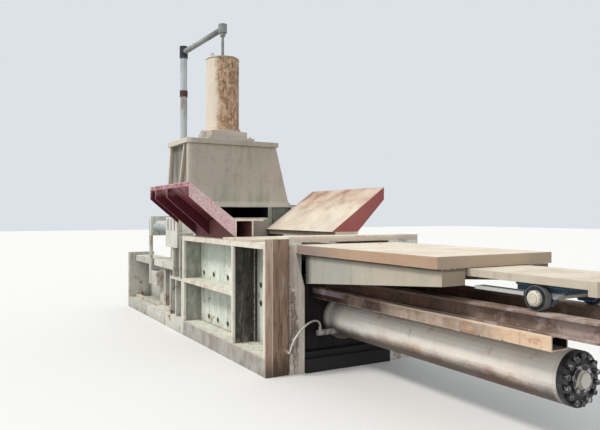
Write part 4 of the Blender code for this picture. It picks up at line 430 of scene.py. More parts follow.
def end_plate_regions(look):
    """Brown rust in long runs, a pale strip down the outer edge with a thin painted highlight line beside it,
    a pale spot and oil near the floor.
    """
    outer = -WALL_OUTER
    runs = look.noise(3.0, 8.0, 0.72, stretch=(7.0, 7.0, 0.7), distort=0.3)
    thin = look.patches(4.0, 8.0, 0.7, 0.52, 0.62, stretch=(14.0, 14.0, 0.8))
    strip_tone = look.blend(look.ease(runs, 0.42, 0.6), (0.62, 0.49, 0.39), (0.42, 0.28, 0.2))
    spot = look.times(look.within(look.y, -0.8, -0.74, 0.02), look.within(look.z, 0.78, 0.98, 0.06))
    low = look.ease(look.plus(look.z, look.times(runs, 0.3)), 0.42, 0.18)
    return [
        (look.ease(runs, 0.44, 0.6), 1, (0.36, 0.235, 0.165)),
        (thin, 0.7, (0.085, 0.05, 0.034)),
        (look.ease(look.y, outer + 0.075, outer + 0.06), 0.85, strip_tone),
        # Painted highlight: a thin bright line beside the outer strip
        (look.within(look.y, outer + 0.066, outer + 0.08, 0.003), 0.8, (0.74, 0.62, 0.48)),
        (spot, look.ease(runs, 0.35, 0.6), (0.42, 0.36, 0.3)),
        (low, 0.75, (0.05, 0.038, 0.03))]


def portal_regions(look):
    """Grey-beige paint with a painted highlight in cream at the flare and the rim, rusty outside, with
    rust-pink runs low down, and painted shade, nearly black, in the recess inside the opening.
    """
    side = look.number("ABSOLUTE", look.y)
    flare = look.plus(side, look.times(look.z, -0.24))
    edge = look.times(look.ease(flare, 0.375, 0.355), look.ease(look.z, 0.84, 0.92))
    low = look.ease(look.z, 0.98, 0.8)
    runs = look.patches(7.0, 8.0, 0.75, 0.45, 0.55, stretch=(2.5, 2.5, 0.35))
    scrape = look.patches(17.0, 9.0, 0.8, 0.54, 0.6, stretch=(1.3, 1.3, 0.7))
    inside = look.times(look.rest(look.facing(TO_TAIL, 0.2, 0.6)), look.ease(side, 0.66, 0.62))
    return [
        # Painted highlight: cream along the flare
        (edge, 0.8, (0.7, 0.62, 0.5)),
        (look.times(runs, low), 0.85, (0.16, 0.105, 0.085)),
        (look.times(scrape, low), 0.92, (0.84, 0.76, 0.7)),
        (look.times(look.ease(side, 0.645, 0.675), look.rest(low)), 0.4, (0.3, 0.2, 0.145)),
        # Painted highlight: cream on the face beside the opening
        (look.ease(side, 0.612, 0.598), 0.7, (0.8, 0.72, 0.62)),
        # Painted shade, nearly black, on the recess inside the opening
        (inside, 0.9, (0.02, 0.018, 0.017))]


def barrel_regions(look):
    """Pale paint with rust stains down the side, painted highlights in bright patches, painted shade that
    makes the underside nearly black, and painted shade at the front end.
    """
    axis = BARREL_AXIS_Z
    lengthwise = (0.6, 1.2, 1.2)
    grey = look.ease(look.plus(look.x, look.times(look.noise(2.0, 6.0, 0.65), 0.4)), 2.45, 2.75)
    # Painted highlight in bright patches along the middle, towards the box
    painted_highlight = look.times(
        look.patches(5.2, 8.0, 0.75, 0.44, 0.56, stretch=(0.5, 1.0, 1.0)),
        look.within(look.z, axis - 0.1, axis + 0.02, 0.03), look.ease(look.x, 1.25, 0.75))
    blush = look.times(
        look.patches(2.4, 7.0, 0.7, 0.38, 0.54, stretch=lengthwise),
        look.ease(look.z, axis + 0.03, axis - 0.08), look.ease(look.x, 0.7, 1.1))
    # Height with noise, below which the underside is painted shade
    underside_shade_level = look.plus(look.z, look.times(look.noise(3.4, 7.0, 0.7), 0.12))
    return [
        (grey, 0.5, (0.62, 0.59, 0.56)),
        (look.patches(1.7, 7.0, 0.62, 0.48, 0.66, stretch=lengthwise), 0.5, (0.66, 0.49, 0.38)),
        (painted_highlight, 0.95, (0.95, 0.94, 0.9)),
        (blush, 0.8, (0.56, 0.34, 0.235)),
        # Painted shade: the underside nearly black
        (look.ease(underside_shade_level, axis + 0.05, axis - 0.06), 0.86, (0.08, 0.048, 0.032)),
        # Painted shade at the front end, under the covers
        (look.ease(look.x, 0.2, -0.05), 0.5, (0.13, 0.12, 0.105)),
        (look.ease(look.x, BARREL_HIGH.x - 0.035, BARREL_HIGH.x - 0.028), 0.6, (0.62, 0.61, 0.58))]


def tamper_regions(look):
    """Flaking rust on the side away from the gate, with dark specks under the top."""
    across = look.times(look.plus(look.x, -TAMPER_AXIS_X), ACROSS_X)
    aside = look.plus(across, look.times(look.y, ACROSS_Y))
    flake = look.noise(5.0, 9.0, 0.75, stretch=(1.0, 1.0, 0.55), distort=0.5)
    rusty = look.ease(look.plus(aside, look.times(flake, 0.3)), 0.045, 0.15)
    tan = look.mixed(
        (0.27, 0.145, 0.075), (0.58, 0.42, 0.28), 19.0, 9.0, 0.8, 0.42, 0.58, stretch=(1.0, 1.0, 0.6))
    high = look.ease(look.z, TAMPER_LOW.z + 0.45, TAMPER_HIGH.z - 0.2)
    pits = look.patches(15.0, 9.0, 0.8, 0.53, 0.58, stretch=(1.6, 1.6, 0.5), distort=0.4)
    flakes = look.times(look.ease(look.cells(26.0), 0.3, 0.2), look.ease(flake, 0.5, 0.6), rusty)
    return [
        (rusty, 1, tan),
        (look.times(pits, rusty), look.plus(look.times(high, 0.75), 0.15), (0.05, 0.028, 0.02)),
        (flakes, 0.6, (0.78, 0.7, 0.58))]


def cover_regions(look):
    """Cream top with rust water stains, orange-beige side faces, pinkish towards the box, and a darker taupe
    face towards the tail, as painted shade.
    """
    side_tone = look.layers(
        look.blend(look.ease(look.x, 0.2, 1.0), (0.215, 0.165, 0.148), (0.44, 0.275, 0.175)),
        (look.patches(4.0, 7.0, 0.7, 0.44, 0.6, stretch=(0.7, 1.0, 2.0)), 0.45, (0.34, 0.19, 0.13)))
    return [
        (look.rest(look.facing(UP, 0.4, 0.8)), 0.85, side_tone),
        # Painted shade: darker taupe on the faces towards the tail
        (look.facing(TO_TAIL), 0.85, (0.42, 0.33, 0.24)),
        (look.patches(1.8, 6.0, 0.6, 0.56, 0.68, distort=0.6), 0.35, (0.46, 0.34, 0.24))]


def cheek_regions(look):
    """Grey towards the box, beige towards the tail and a pale lower edge, with painted shade: a dark end, a
    taupe tail face, a dark band under the cover's lip and dark undersides.
    """
    dark = look.ease(look.x, CHEEK_LOW.x + 0.13, CHEEK_LOW.x + 0.01)
    base = look.within(look.z, CHEEK_LOW.z - 0.02, CHEEK_LOW.z + 0.012, 0.004)
    return [
        (look.ease(look.x, 0.6, 1.5), 0.65, (0.56, 0.475, 0.36)),
        (look.patches(3.0, 6.0, 0.65, 0.45, 0.62), 0.35, (0.36, 0.38, 0.28)),
        # Painted shade: the end beside the portal nearly black
        (dark, 0.9, (0.03, 0.027, 0.025)),
        # Painted shade: darker taupe on the faces towards the tail
        (look.facing(TO_TAIL), 0.85, (0.3, 0.235, 0.17)),
        # Painted shadow of the cover's lip along the top
        (look.ease(look.z, CHEEK_HIGH.z - 0.035, CHEEK_HIGH.z - 0.005), 0.85, (0.07, 0.05, 0.04)),
        (look.times(base, look.rest(dark)), 0.8, (0.82, 0.78, 0.74)),
        # Painted shade on the faces turned down
        (look.facing((0, 0, -1), 0.4, 0.8), 0.7, (0.1, 0.085, 0.075))]


def tower_regions(look):
    """Soft mottling, faint runs, painted light on the near edge, painted shade in the near bays and green low
    on the far corner.
    """
    runs = look.noise(3.0, 6.0, 0.6, stretch=(2.6, 2.6, 0.45))
    low = look.ease(look.z, 2.25, 1.8)
    green = look.times(low, look.within(look.y, -0.3, 0.66, 0.12), look.ease(runs, 0.35, 0.6))
    near = look.times(look.ease(look.y, TOWER_LOW.y + 0.1, TOWER_LOW.y + 0.03), look.rest(low))
    bay_plane = look.within(look.y, TOWER_BAY_Y - 0.01, TOWER_BAY_Y + 0.01, 0.003)
    shade = look.blend(look.ease(runs, 0.4, 0.6), (0.1, 0.095, 0.085), (0.24, 0.225, 0.19))
    return [
        (look.ease(runs, 0.5, 0.68), 0.3, (0.22, 0.19, 0.155)),
        (look.patches(1.6, 6.0, 0.65, 0.46, 0.64), 0.4, (0.42, 0.34, 0.28)),
        (look.patches(6.5, 8.0, 0.72, 0.5, 0.64), 0.28, (0.25, 0.215, 0.18)),
        (green, 0.4, (0.3, 0.36, 0.26)),
        # Painted light: the near edge brighter
        (near, 0.7, (0.72, 0.66, 0.54)),
        # Painted shade in the near bays
        (look.times(look.facing(TO_GATE, 0.4, 0.8), bay_plane), 0.85, shade),
        (look.times(low, look.rest(green)), 0.45, (0.6, 0.55, 0.47)),
        (look.ease(look.z, TOWER_LOW.z + 0.1, TOWER_LOW.z + 0.06), 0.45, (0.68, 0.64, 0.57))]


def near_panel_regions(look):
    """Scraped pink-white flanges, crimson outside with painted shade on the underside and on the ribs' faces
    towards the tail, and an inner face that scrap has worn to rust.
    """
    tail = look.facing(TO_TAIL)
    last = look.ease(look.x, NEAR_PANEL_HIGH.x - 0.06, NEAR_PANEL_HIGH.x - 0.03)
    speck = look.patches(42.0, 8.0, 0.8, 0.36, 0.64)
    flange = look.mixed(
        look.blend(speck, (0.58, 0.3, 0.32), (0.88, 0.69, 0.69)),
        look.blend(speck, (0.55, 0.4, 0.38), (0.88, 0.77, 0.72)), 6.0, 6.0, 0.65, 0.42, 0.6)
    # Crimson paint darkened as painted shade on the underside, less so higher up
    shaded_tone = look.layers(
        look.mixed((0.085, 0.011, 0.02), (0.25, 0.032, 0.052), 2.0, 6.0, 0.6, 0.4, 0.62),
        (look.ease(look.z, 1.55, 1.92), 1, (0.3, 0.085, 0.11)))
    lip = look.ease(look.z, NEAR_PANEL_HIGH.z - 0.16, NEAR_PANEL_HIGH.z - 0.06)
    scrape = look.patches(4.0, 8.0, 0.7, 0.38, 0.58, stretch=(0.5, 1.6, 1.6))
    return [
        (look.times(tail, last), 0.9, flange),
        # Painted shade: dark crimson on the ribs' faces towards the tail
        (look.times(tail, look.rest(last)), 0.85, (0.1, 0.016, 0.026)),
        (look.facing((0, -0.8, -0.6), 0.2, 0.6), 0.92, shaded_tone),
        (look.times(lip, look.patches(7.0, 8.0, 0.75, 0.4, 0.56)), 0.75, (0.6, 0.36, 0.36)),
        (look.facing((0, 0.8, 0.6), 0.4, 0.8), scrape, (0.36, 0.25, 0.17))]


def far_panel_regions(look):
    """The inner face is rubbed to smooth tan, more orange at its top; the outer keeps its red paint."""
    height = look.ease(look.plus(look.z, look.times(look.noise(2.2, 6.0, 0.6), 0.25)), 1.68, 2.02)
    bare = look.layers(
        look.blend(height, (0.58, 0.5, 0.405), (0.33, 0.18, 0.118)),
        (look.patches(2.6, 8.0, 0.66, 0.48, 0.66, distort=0.4), 0.45, (0.66, 0.58, 0.46)),
        (look.patches(3.0, 6.0, 0.6, 0.58, 0.7, stretch=(5.0, 0.8, 0.8)), 0.25, (0.4, 0.24, 0.15)))
    return [
        (look.facing((0, -0.58, 0.81), 0.4, 0.8), 1, bare),
        (look.facing(TO_TAIL), 0.6, (0.34, 0.115, 0.105))]


def head_leg_regions(look):
    """Grey-green leg plates by the throat, and painted shade, nearly black, at the throat's opening."""
    leg = look.times(look.ease(look.x, -3.3, -3.26), look.ease(look.z, 1.0, 1.1))
    soft = look.mixed((0.145, 0.158, 0.128), (0.27, 0.285, 0.24), 3.0, 6.0, 0.6, 0.42, 0.62)
    # Painted shade on the faces towards the gate high in the throat
    mouth_shade = look.times(look.facing(TO_GATE), look.ease(look.z, 1.2, 1.3))
    return [(leg, 0.85, soft), (mouth_shade, 1, THROAT_SHADE_BLACK)]


def throat_regions(look):
    """Painted shade, nearly black, on everything high up that faces the bale chamber."""
    high = look.ease(look.z, 0.9, 1.1)
    return [(look.facing(TO_TAIL, 0.4, 0.8), high, THROAT_SHADE_BLACK)]


def curb_regions(look):
    """A crimson face towards the gate side under pale frame bars, darkened as painted shade under the panel,
    and brown grime with painted shade in the corners of the faces towards the tail.
    """
    return [
        # Crimson darkened as painted shade under the panel
        (look.times(look.facing(TO_GATE), look.ease(look.z, 1.6, 1.56)), 0.9, (0.165, 0.027, 0.04)),
        # Grime in corners from ambient occlusion, partly painted shade
        (look.times(look.facing(TO_TAIL), look.corners(0.1)), 0.6, (0.16, 0.1, 0.07))]


def tie_regions(look):
    """Brownish grey front under a bright cream top line."""
    front = look.times(
        look.facing(TO_TAIL), look.ease(look.z, TIE_TOP_Z - 0.018, TIE_TOP_Z - 0.024),
        look.ease(look.y, -0.66, -0.62))
    return [(front, 0.85, (0.56, 0.475, 0.395))]


def cradle_regions(look):
    """Dark brown towards the box, then dusty, then tan, with a cream top edge, painted shade low on its end
    by the box and black painted shade in the holes.
    """
    along = look.plus(look.x, look.times(look.noise(2.4, 6.0, 0.65), 0.5))
    dusty = look.mixed((0.32, 0.235, 0.185), (0.56, 0.43, 0.34), 4.0, 8.0, 0.7, 0.42, 0.6)
    brown = look.mixed((0.095, 0.062, 0.05), (0.275, 0.195, 0.15), 5.0, 7.0, 0.7, 0.42, 0.62)
    knot = look.patches(6.0, 7.0, 0.7, 0.56, 0.66, stretch=(0.8, 1.0, 1.0))
    upper = look.ease(look.z, CRADLE_LOW.z + 0.045, CRADLE_LOW.z + 0.055)
    hole = look.times(
        look.within(look.number("ABSOLUTE", look.y), *CRADLE_HOLE_Y, 0.002),
        look.within(look.z, CRADLE_LOW.z + 0.008, CRADLE_HIGH.z - 0.008, 0.002))
    top = look.times(
        look.ease(look.z, CRADLE_HIGH.z - 0.02, CRADLE_HIGH.z - 0.012), look.ease(along, 1.0, 1.8))
    return [
        (look.ease(along, 2.75, 2.4), 0.85, dusty),
        (look.ease(along, 1.65, 1.15), 1, brown),
        (look.times(knot, look.ease(along, 1.6, 2.2)), 0.75, (0.4, 0.185, 0.075)),
        # Painted shade near the box, below a pinkish grey upper band
        (look.ease(look.x, 0.55, 0.35), 0.85, look.blend(upper, (0.055, 0.022, 0.02), (0.34, 0.28, 0.31))),
        # Painted shade: black in the holes
        (hole, 1, (0.006, 0.005, 0.005)),
        (top, 0.75, (0.76, 0.62, 0.46))]


def rail_regions(look):
    """Nearly black under the covers as painted shade, brown in patches and pinkish grey towards the tail."""
    shaded_tone = look.mixed((0.03, 0.016, 0.013), (0.125, 0.058, 0.036), 3.5, 7.0, 0.7, 0.42, 0.62)
    pink = look.times(look.patches(4.0, 8.0, 0.7, 0.44, 0.56), look.ease(look.x, 1.9, 2.5))
    return [
        # Painted shade under the covers
        (look.ease(look.x, 2.1, 1.5), 0.85, shaded_tone),
        (look.patches(3.0, 8.0, 0.72, 0.46, 0.58, distort=0.4), 0.6, (0.16, 0.085, 0.05)),
        (pink, 0.8, (0.47, 0.365, 0.325)),
        (look.patches(22.0, 7.0, 0.75, 0.6, 0.66, stretch=(1.5, 1.5, 0.8)), 0.7, (0.02, 0.012, 0.01))]


def post_regions(look):
    """Pale blue-grey over a rust collar, brownish just under it, and a dark elbow."""
    below = look.times(
        look.within(look.z, POST_COLLAR_Z - 0.55, POST_COLLAR_Z, 0.05),
        look.patches(6.0, 7.0, 0.7, 0.44, 0.62, stretch=(2.0, 2.0, 0.35)))
    return [
        (below, 0.7, (0.26, 0.17, 0.12)),
        (look.within(look.z, POST_COLLAR_Z, POST_COLLAR_Z + 0.11), 1, (0.09, 0.045, 0.04)),
        (look.within(look.z, POST_TOP_Z - 0.21, POST_TOP_Z + 0.1), 1, (0.045, 0.038, 0.055))]


def small_barrel_regions(look):
    """Dark runs over steel-grey paint."""
    runs = look.patches(3.0, 7.0, 0.7, 0.5, 0.62, stretch=(0.8, 2.0, 2.0))
    return [(runs, 0.7, (0.1, 0.095, 0.09))]


def guard_regions(look):
    """Pale grey guard bar at the carriage's near end."""
    bar = look.times(look.ease(look.y, -0.195, -0.205), look.within(look.z, *GUARD_BAR_Z, 0.004))
    return [(bar, 0.9, (0.56, 0.55, 0.53))]


def cap_material():
    """Oily black casting with worn bolt heads and a pale boss."""
    look = Look("oily_cap")
    grain = look.noise(26.0, 6.0, 0.6)
    film = look.noise(6.0, 6.0, 0.7)
    proud = look.ease(look.x, CAP_END_X - 0.04, CAP_END_X - 0.036)
    worn = look.ease(look.plus(grain, look.times(look.edges(0.006), 0.3)), 0.5, 0.66)
    above = look.plus(look.z, -BARREL_AXIS_Z)
    away_squared = look.plus(look.times(look.y, look.y), look.times(above, above))
    colour = look.layers(
        look.blend(look.ease(grain, 0.45, 0.7), OIL_BLACK, (0.05, 0.045, 0.045)),
        (look.times(proud, worn), 0.9, (0.6, 0.58, 0.55)),
        (look.times(look.ease(away_squared, 0.0044, 0.003), proud), 0.85, (0.66, 0.62, 0.54)))
    look.relief(look.plus(grain, film), 0.003)
    return look.done(colour, look.value_between(look.ease(film, 0.4, 0.6), 0.24, 0.55), 0.1)


def wheel_material():
    """Dark blue-black wheels with a rubbed tread and a cream hub."""
    look = Look("carriage_wheel")
    low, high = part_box("near_wheel")
    grain = look.noise(30.0, 7.0, 0.7)
    away_x = look.plus(look.x, -(low.x + high.x) / 2)
    away_z = look.plus(look.z, -(low.z + high.z) / 2)
    away = look.number("SQRT", look.plus(look.times(away_x, away_x), look.times(away_z, away_z)))
    colour = look.layers(
        look.blend(look.ease(grain, 0.45, 0.65), (0.01, 0.02, 0.027), (0.035, 0.045, 0.05)),
        (look.ease(away, 0.078, 0.083), 0.45, (0.3, 0.29, 0.27)),
        (look.times(look.ease(away, 0.056, 0.05), look.ease(grain, 0.26, 0.48)), 0.92, (0.74, 0.66, 0.52)))
    look.relief(grain, 0.002)
    return look.done(colour, 0.55, dull=True)


def worn_steel(name, along, colour=(0.36, 0.33, 0.3), rust=0.5, metallic=0.75, oil_and_shade_from=None):
    """Bare steel, scratched along its travel, with rust blooming where nothing rubs.

    The last argument gives the X from which everything towards the tail is black, as oil and painted shade.
    """
    look = Look(name)
    scratch = look.noise(2.0, 7.0, 0.7, stretch=tuple(0.7 if axis == along else 22.0 for axis in "XYZ"))
    low = 0.75 - 0.3 * rust
    rusted = look.ease(
        look.plus(look.noise(4.5, 8.0, 0.7), look.times(look.corners(0.12), 0.15)), low, low + 0.12)
    tone = look.layers(
        look.blend(look.ease(scratch, 0.35, 0.65), colour, tuple(0.55 * part for part in colour)),
        (rusted, 1, rust_tone(look)))
    rough = look.value_between(rusted, look.value_between(scratch, 0.25, 0.5), 0.9)
    shine = look.value_between(rusted, metallic, 0.0)
    if oil_and_shade_from is not None:
        # Black as oil and painted shade towards the tail
        oil = look.times(look.ease(look.x, oil_and_shade_from - 0.05, oil_and_shade_from + 0.05), 0.94)
        tone = look.blend(oil, tone, (0.007, 0.007, 0.011))
        rough = look.value_between(oil, rough, 0.45)
        shine = look.value_between(oil, shine, 0.0)
    look.relief(look.plus(look.times(scratch, 0.4), look.times(rusted, 0.5)), 0.002)
    return look.done(tone, rough, shine, dull=oil_and_shade_from is not None)


def filmed(name, first, second, film, ease, depth, rough, metallic=0.0, fine=None):
    """Two tones that cloud into each other.

    film and fine are noise settings; the relief follows fine where it is given. rough is one number, or the
    two ends that follow the film.
    """
    look = Look(name)
    cloud = look.noise(*film)
    look.relief(look.noise(*fine) if fine else cloud, depth)
    roughness = look.value_between(cloud, *rough) if isinstance(rough, tuple) else rough
    return look.done(look.blend(look.ease(cloud, *ease), first, second), roughness, metallic)


def port_material():
    """Pale grey fitting with purple-grey stains."""
    return filmed("pale_fitting", (0.56, 0.53, 0.5), (0.17, 0.14, 0.18), (9.0, 7.0, 0.7), (0.42, 0.62), 0.002,
                  (0.35, 0.7), 0.2)


def chrome_rod():
    """Hard chrome under a thin, blotchy oil film."""
    return filmed("rod_chrome", (0.62, 0.62, 0.62), (0.4, 0.36, 0.3), (5.0, 6.0, 0.6), (0.45, 0.65), 0.0004,
                  (0.1, 0.32), 1.0, (60.0, 3.0, 0.5))


def hose_material():
    """Pale hose cover with dull scuffs."""
    return filmed("pale_hose", (0.62, 0.61, 0.58), (0.34, 0.33, 0.31), (22.0, 6.0, 0.7), (0.48, 0.66), 0.0006,
                  0.6, fine=(160.0, 3.0, 0.5))


def bright_steel():
    """Zinc-grey steel of bolts, unions and ferrules, with rust in places."""
    return filmed("zinc_steel", (0.46, 0.45, 0.42), (0.22, 0.14, 0.09), (30.0, 6.0, 0.7), (0.5, 0.64), 0.001,
                  (0.35, 0.75), 0.55)


def weld_material():
    """Weld bead: rippled, brown-grey, brighter on its crowns."""
    return filmed("weld_bead", (0.16, 0.13, 0.11), (0.46, 0.42, 0.36), (70.0, 3.0, 0.5), (0.4, 0.62), 0.003,
                  0.62, 0.2)


def hole_material():
    """The darkness inside a bolt hole."""
    look = Look("hole_dark")
    film = look.noise(40.0, 4.0, 0.6)
    look.relief(film, 0.001)
    return look.done(look.blend(film, (0.01, 0.009, 0.009), (0.05, 0.035, 0.025)), 0.8)


# Wear and painted shade that several painted pieces share: rust, grime with painted shade, and streaks
HEAD_WEAR_AND_SHADE = (0.46, 0.6, 0.55)
LEDGE_WEAR_AND_SHADE = (0.42, 0.3, 0.25)

# Painted nodes: the nodes, the material's name, its paint, its faded paint, its rust, grime with painted
# shade and streaks, and what else weathered() is told
PAINTS = (
    ("near_side_frame far_side_frame", "frame_paint", (0.66, 0.71, 0.62), (0.8, 0.84, 0.76), (0.44, 0.3, 0.3),
     dict(regions=frame_regions, mottle=0.3)),
    ("head_near_frame pipe_bracket transverse_end_plate gate_cylinder_bracket", "head_paint",
     (0.56, 0.57, 0.5), (0.72, 0.71, 0.64), HEAD_WEAR_AND_SHADE, dict(mottle=0.2)),
    ("head_far_frame", "head_far_paint", (0.36, 0.37, 0.31), (0.52, 0.52, 0.455), HEAD_WEAR_AND_SHADE,
     dict(regions=head_leg_regions, mottle=0.2)),
    # The back wall's paint is a darker copy of the head's: painted shade inside the head
    ("head_back_wall", "head_back_shaded_paint", (0.38, 0.38, 0.32), (0.56, 0.55, 0.47), HEAD_WEAR_AND_SHADE,
     dict(regions=throat_regions, mottle=0.2)),
    ("gate gate_run_frame", "gate_paint", (0.4, 0.41, 0.37), (0.6, 0.58, 0.51), (0.5, 0.6, 0.5), {}),
    ("near_end_plate", "end_plate_rust", (0.215, 0.132, 0.088), (0.275, 0.18, 0.122), (0.3, 0.25, 0.5),
     dict(worn=0.3, regions=end_plate_regions, top_dust=0.9)),
    ("end_portal", "portal_grey", (0.56, 0.485, 0.42), (0.68, 0.6, 0.52), (0.3, 0.3, 0.4),
     dict(regions=portal_regions)),
    ("roof_plate far_hopper_curb", "ledge_cream", (0.56, 0.48, 0.38), (0.7, 0.63, 0.52), LEDGE_WEAR_AND_SHADE, {}),
    ("near_hopper_curb", "curb_cream", (0.6, 0.52, 0.43), (0.72, 0.64, 0.54), LEDGE_WEAR_AND_SHADE,
     dict(regions=curb_regions)),
    ("rear_tie_beam", "tie_cream", (0.6, 0.51, 0.41), (0.72, 0.64, 0.54), LEDGE_WEAR_AND_SHADE,
     dict(regions=tie_regions, top_dust=0.9)),
    ("shear_beam", "beam_grey", (0.27, 0.235, 0.195), (0.36, 0.31, 0.26), (0.4, 0.5, 0.3), {}),
    ("tower_housing", "tower_grey", (0.4, 0.355, 0.29), (0.47, 0.43, 0.36), (0.16, 0.25, 0.12),
     dict(worn=0.7, regions=tower_regions, mottle=0.12)),
    ("tamper_collar", "collar_grey", (0.42, 0.375, 0.31), (0.52, 0.47, 0.4), (0.3, 0.35, 0.3), {}),
    ("tamper_barrel", "tamper_paint", (0.68, 0.59, 0.48), (0.76, 0.68, 0.56), (0.12, 0.2, 0.1),
     dict(worn=0.3, regions=tamper_regions, run=(14.0, 14.0, 1.0))),
    ("hopper_near_panel", "hopper_red", (0.115, 0.014, 0.024), (0.16, 0.026, 0.036), (0.12, 0.3, 0.2),
     dict(worn=0.7, worn_colour=(0.78, 0.62, 0.58), regions=near_panel_regions)),
    ("hopper_far_panel", "hopper_red_worn", (0.26, 0.055, 0.055), (0.36, 0.11, 0.1), (0.2, 0.15, 0.2),
     dict(worn_colour=(0.66, 0.44, 0.3), regions=far_panel_regions)),
    ("fixed_cover", "cover_cream", (0.62, 0.53, 0.42), (0.72, 0.65, 0.53), (0.3, 0.25, 0.2),
     dict(regions=cover_regions)),
    ("near_cover_cheek far_cover_cheek", "cheek_beige", (0.4, 0.385, 0.345), (0.47, 0.445, 0.385),
     (0.16, 0.3, 0.35), dict(regions=cheek_regions)),
    ("moving_cover", "moving_cream", (0.5, 0.43, 0.335), (0.6, 0.535, 0.43), (0.28, 0.2, 0.2), {}),
    ("near_rail_beam far_rail_beam", "rail_rust", (0.165, 0.102, 0.078), (0.29, 0.205, 0.165),
     (0.4, 0.35, 0.5), dict(worn_colour=(0.42, 0.36, 0.33), top_dust=0.25, regions=rail_regions)),
    ("front_saddle rear_saddle", "saddle_rust", (0.085, 0.06, 0.05), (0.16, 0.115, 0.09), (0.5, 0.4, 0.4),
     dict(worn=0.3, worn_colour=(0.34, 0.28, 0.24), top_dust=0.25)),
    ("near_cradle_beam far_cradle_beam", "cradle_tan", (0.72, 0.5, 0.335), (0.82, 0.65, 0.49),
     (0.36, 0.2, 0.3), dict(worn=0.8, worn_colour=(0.74, 0.62, 0.48), regions=cradle_regions)),
    ("main_barrel", "barrel_cream", (0.9, 0.83, 0.72), (0.95, 0.9, 0.82), (0.22, 0.2, 0.1),
     dict(worn=0.3, regions=barrel_regions, gloss=0.5, top_dust=0.3)),
    ("transverse_barrel", "small_barrel", (0.5, 0.44, 0.35), (0.62, 0.56, 0.46), (0.42, 0.35, 0.3), {}),
    ("gate_barrel", "gate_barrel_paint", (0.36, 0.42, 0.43), (0.48, 0.52, 0.51), (0.22, 0.4, 0.3),
     dict(regions=small_barrel_regions)),
    ("transverse_cap main_gland", "oily_casting", (0.035, 0.03, 0.028), (0.09, 0.075, 0.065), (0.3, 0.6, 0.4),
     dict(worn=0.4, worn_colour=(0.3, 0.27, 0.24), gloss=0.4, top_dust=0.2)),
    # Black as oil and painted shade
    ("rear_crosshead", "crosshead_oil_and_shade", (0.01, 0.009, 0.01), (0.026, 0.021, 0.022), (0.12, 0.6, 0.4),
     dict(worn=0.1, worn_colour=(0.1, 0.09, 0.085), gloss=0.45, top_dust=0.05)),
    ("carriage_frame", "carriage_blue", (0.018, 0.055, 0.095), (0.045, 0.095, 0.145), (0.15, 0.4, 0.3),
     dict(worn=0.6, worn_colour=(0.42, 0.46, 0.48), top_dust=0.2, gloss=0.45, regions=guard_regions)),
    ("carriage_axle", "axle_cream", (0.52, 0.47, 0.38), (0.7, 0.64, 0.53), (0.2, 0.4, 0.2), {}),
    ("pipe_post", "post_grey", (0.4, 0.44, 0.45), (0.53, 0.565, 0.57), (0.22, 0.3, 0.4),
     dict(regions=post_regions, gloss=0.5)),
    ("pipe_arm drop_pipe", "arm_grey", (0.15, 0.16, 0.155), (0.42, 0.45, 0.42), (0.28, 0.3, 0.4),
     dict(gloss=0.5, mottle=0.3)),
)


def set_material(names, material):
    """Give CAD nodes a material."""
    for name in names.split():
        node = NODES[name]
        node.data.materials.clear()
        node.data.materials.append(material)


def paint_nodes():
    """Give every CAD node its surface."""
    # Each row's rust, grime with painted shade, and streaks go to weathered()
    for nodes, name, paint, faded, wear_and_shade, extra in PAINTS:
        set_material(nodes, weathered(name, paint, faded, *wear_and_shade, **extra))
    set_material("main_cap", cap_material())
    set_material("hose_port", port_material())
    set_material("near_wheel far_wheel", wheel_material())
    set_material("near_wall_liner far_wall_liner head_floor", worn_steel("channel_steel", "X"))
    # The floor's toe is black as oil and painted shade
    set_material("box_floor", worn_steel("floor_steel", "X", oil_and_shade_from=-0.35))
    set_material("main_ram_head ram_face_plate", worn_steel("ram_steel", "X", (0.3, 0.25, 0.21), 0.7))
    set_material(
        "tamper_platen transverse_ram", worn_steel("platen_steel", "Z", (0.055, 0.048, 0.045), 0.3, 0.4))
    set_material("main_rod tamper_rod transverse_rod gate_rod", chrome_rod())


# Fineness of small turned pieces and of weld beads
ROUND_SIDES = 24
BEAD_SIDES = 7
BEAD_PITCH = 0.009
BEAD_RIPPLE = 0.22
RING_BEAD_STEPS = 128


def keep(name, shape, material, body=FRAME_BODY, smooth=False):
    """Make a piece of a bmesh, give it its surface and let it ride on a body."""
    bmesh.ops.recalc_face_normals(shape, faces=shape.faces)
    mesh = bpy.data.meshes.new(name)
    shape.to_mesh(mesh)
    shape.free()
    mesh.materials.append(material)
    if smooth:
        mesh.shade_smooth()
    piece = bpy.data.objects.new(name, mesh)
    bpy.context.scene.collection.objects.link(piece)
    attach(piece, body)
    return piece


def aimed(place, direction):
    """The transform that carries the origin to a place and +Z to a direction."""
    turn = Vector(direction).normalized().to_track_quat("Z", "Y").to_matrix().to_4x4()
    turn.translation = Vector(place)
    return turn


def circle(shape, carry, radius, count, height, aside=0.0):
    """Points round an axis, carried to their place."""
    points = []
    for step in range(count):
        turn = math.tau * step / count
        place = Vector((aside + radius * math.cos(turn), radius * math.sin(turn), height))
        points.append(shape.verts.new(carry @ place))
    return points


def skin(shape, rings, closed=False):
    """Faces between neighbouring rings of points; a ring of one point is a tip."""
    following_rings = rings[1:] + (rings[:1] if closed else [])
    for low, high in zip(rings, following_rings):
        count = max(len(low), len(high))
        for step in range(count):
            following = (step + 1) % count
            if len(low) == 1:
                shape.faces.new((low[0], high[step], high[following]))
            elif len(high) == 1:
                shape.faces.new((low[step], low[following], high[0]))
            else:
                shape.faces.new((low[step], low[following], high[following], high[step]))


def add_turned(shape, place, direction, profile, sides=ROUND_SIDES):
    """Turn a profile of (radius, height) pairs round an axis; a radius of 0 closes an end."""
    carry = aimed(place, direction)
    skin(shape, [circle(shape, carry, radius, sides if radius else 1, height) for radius, height in profile])


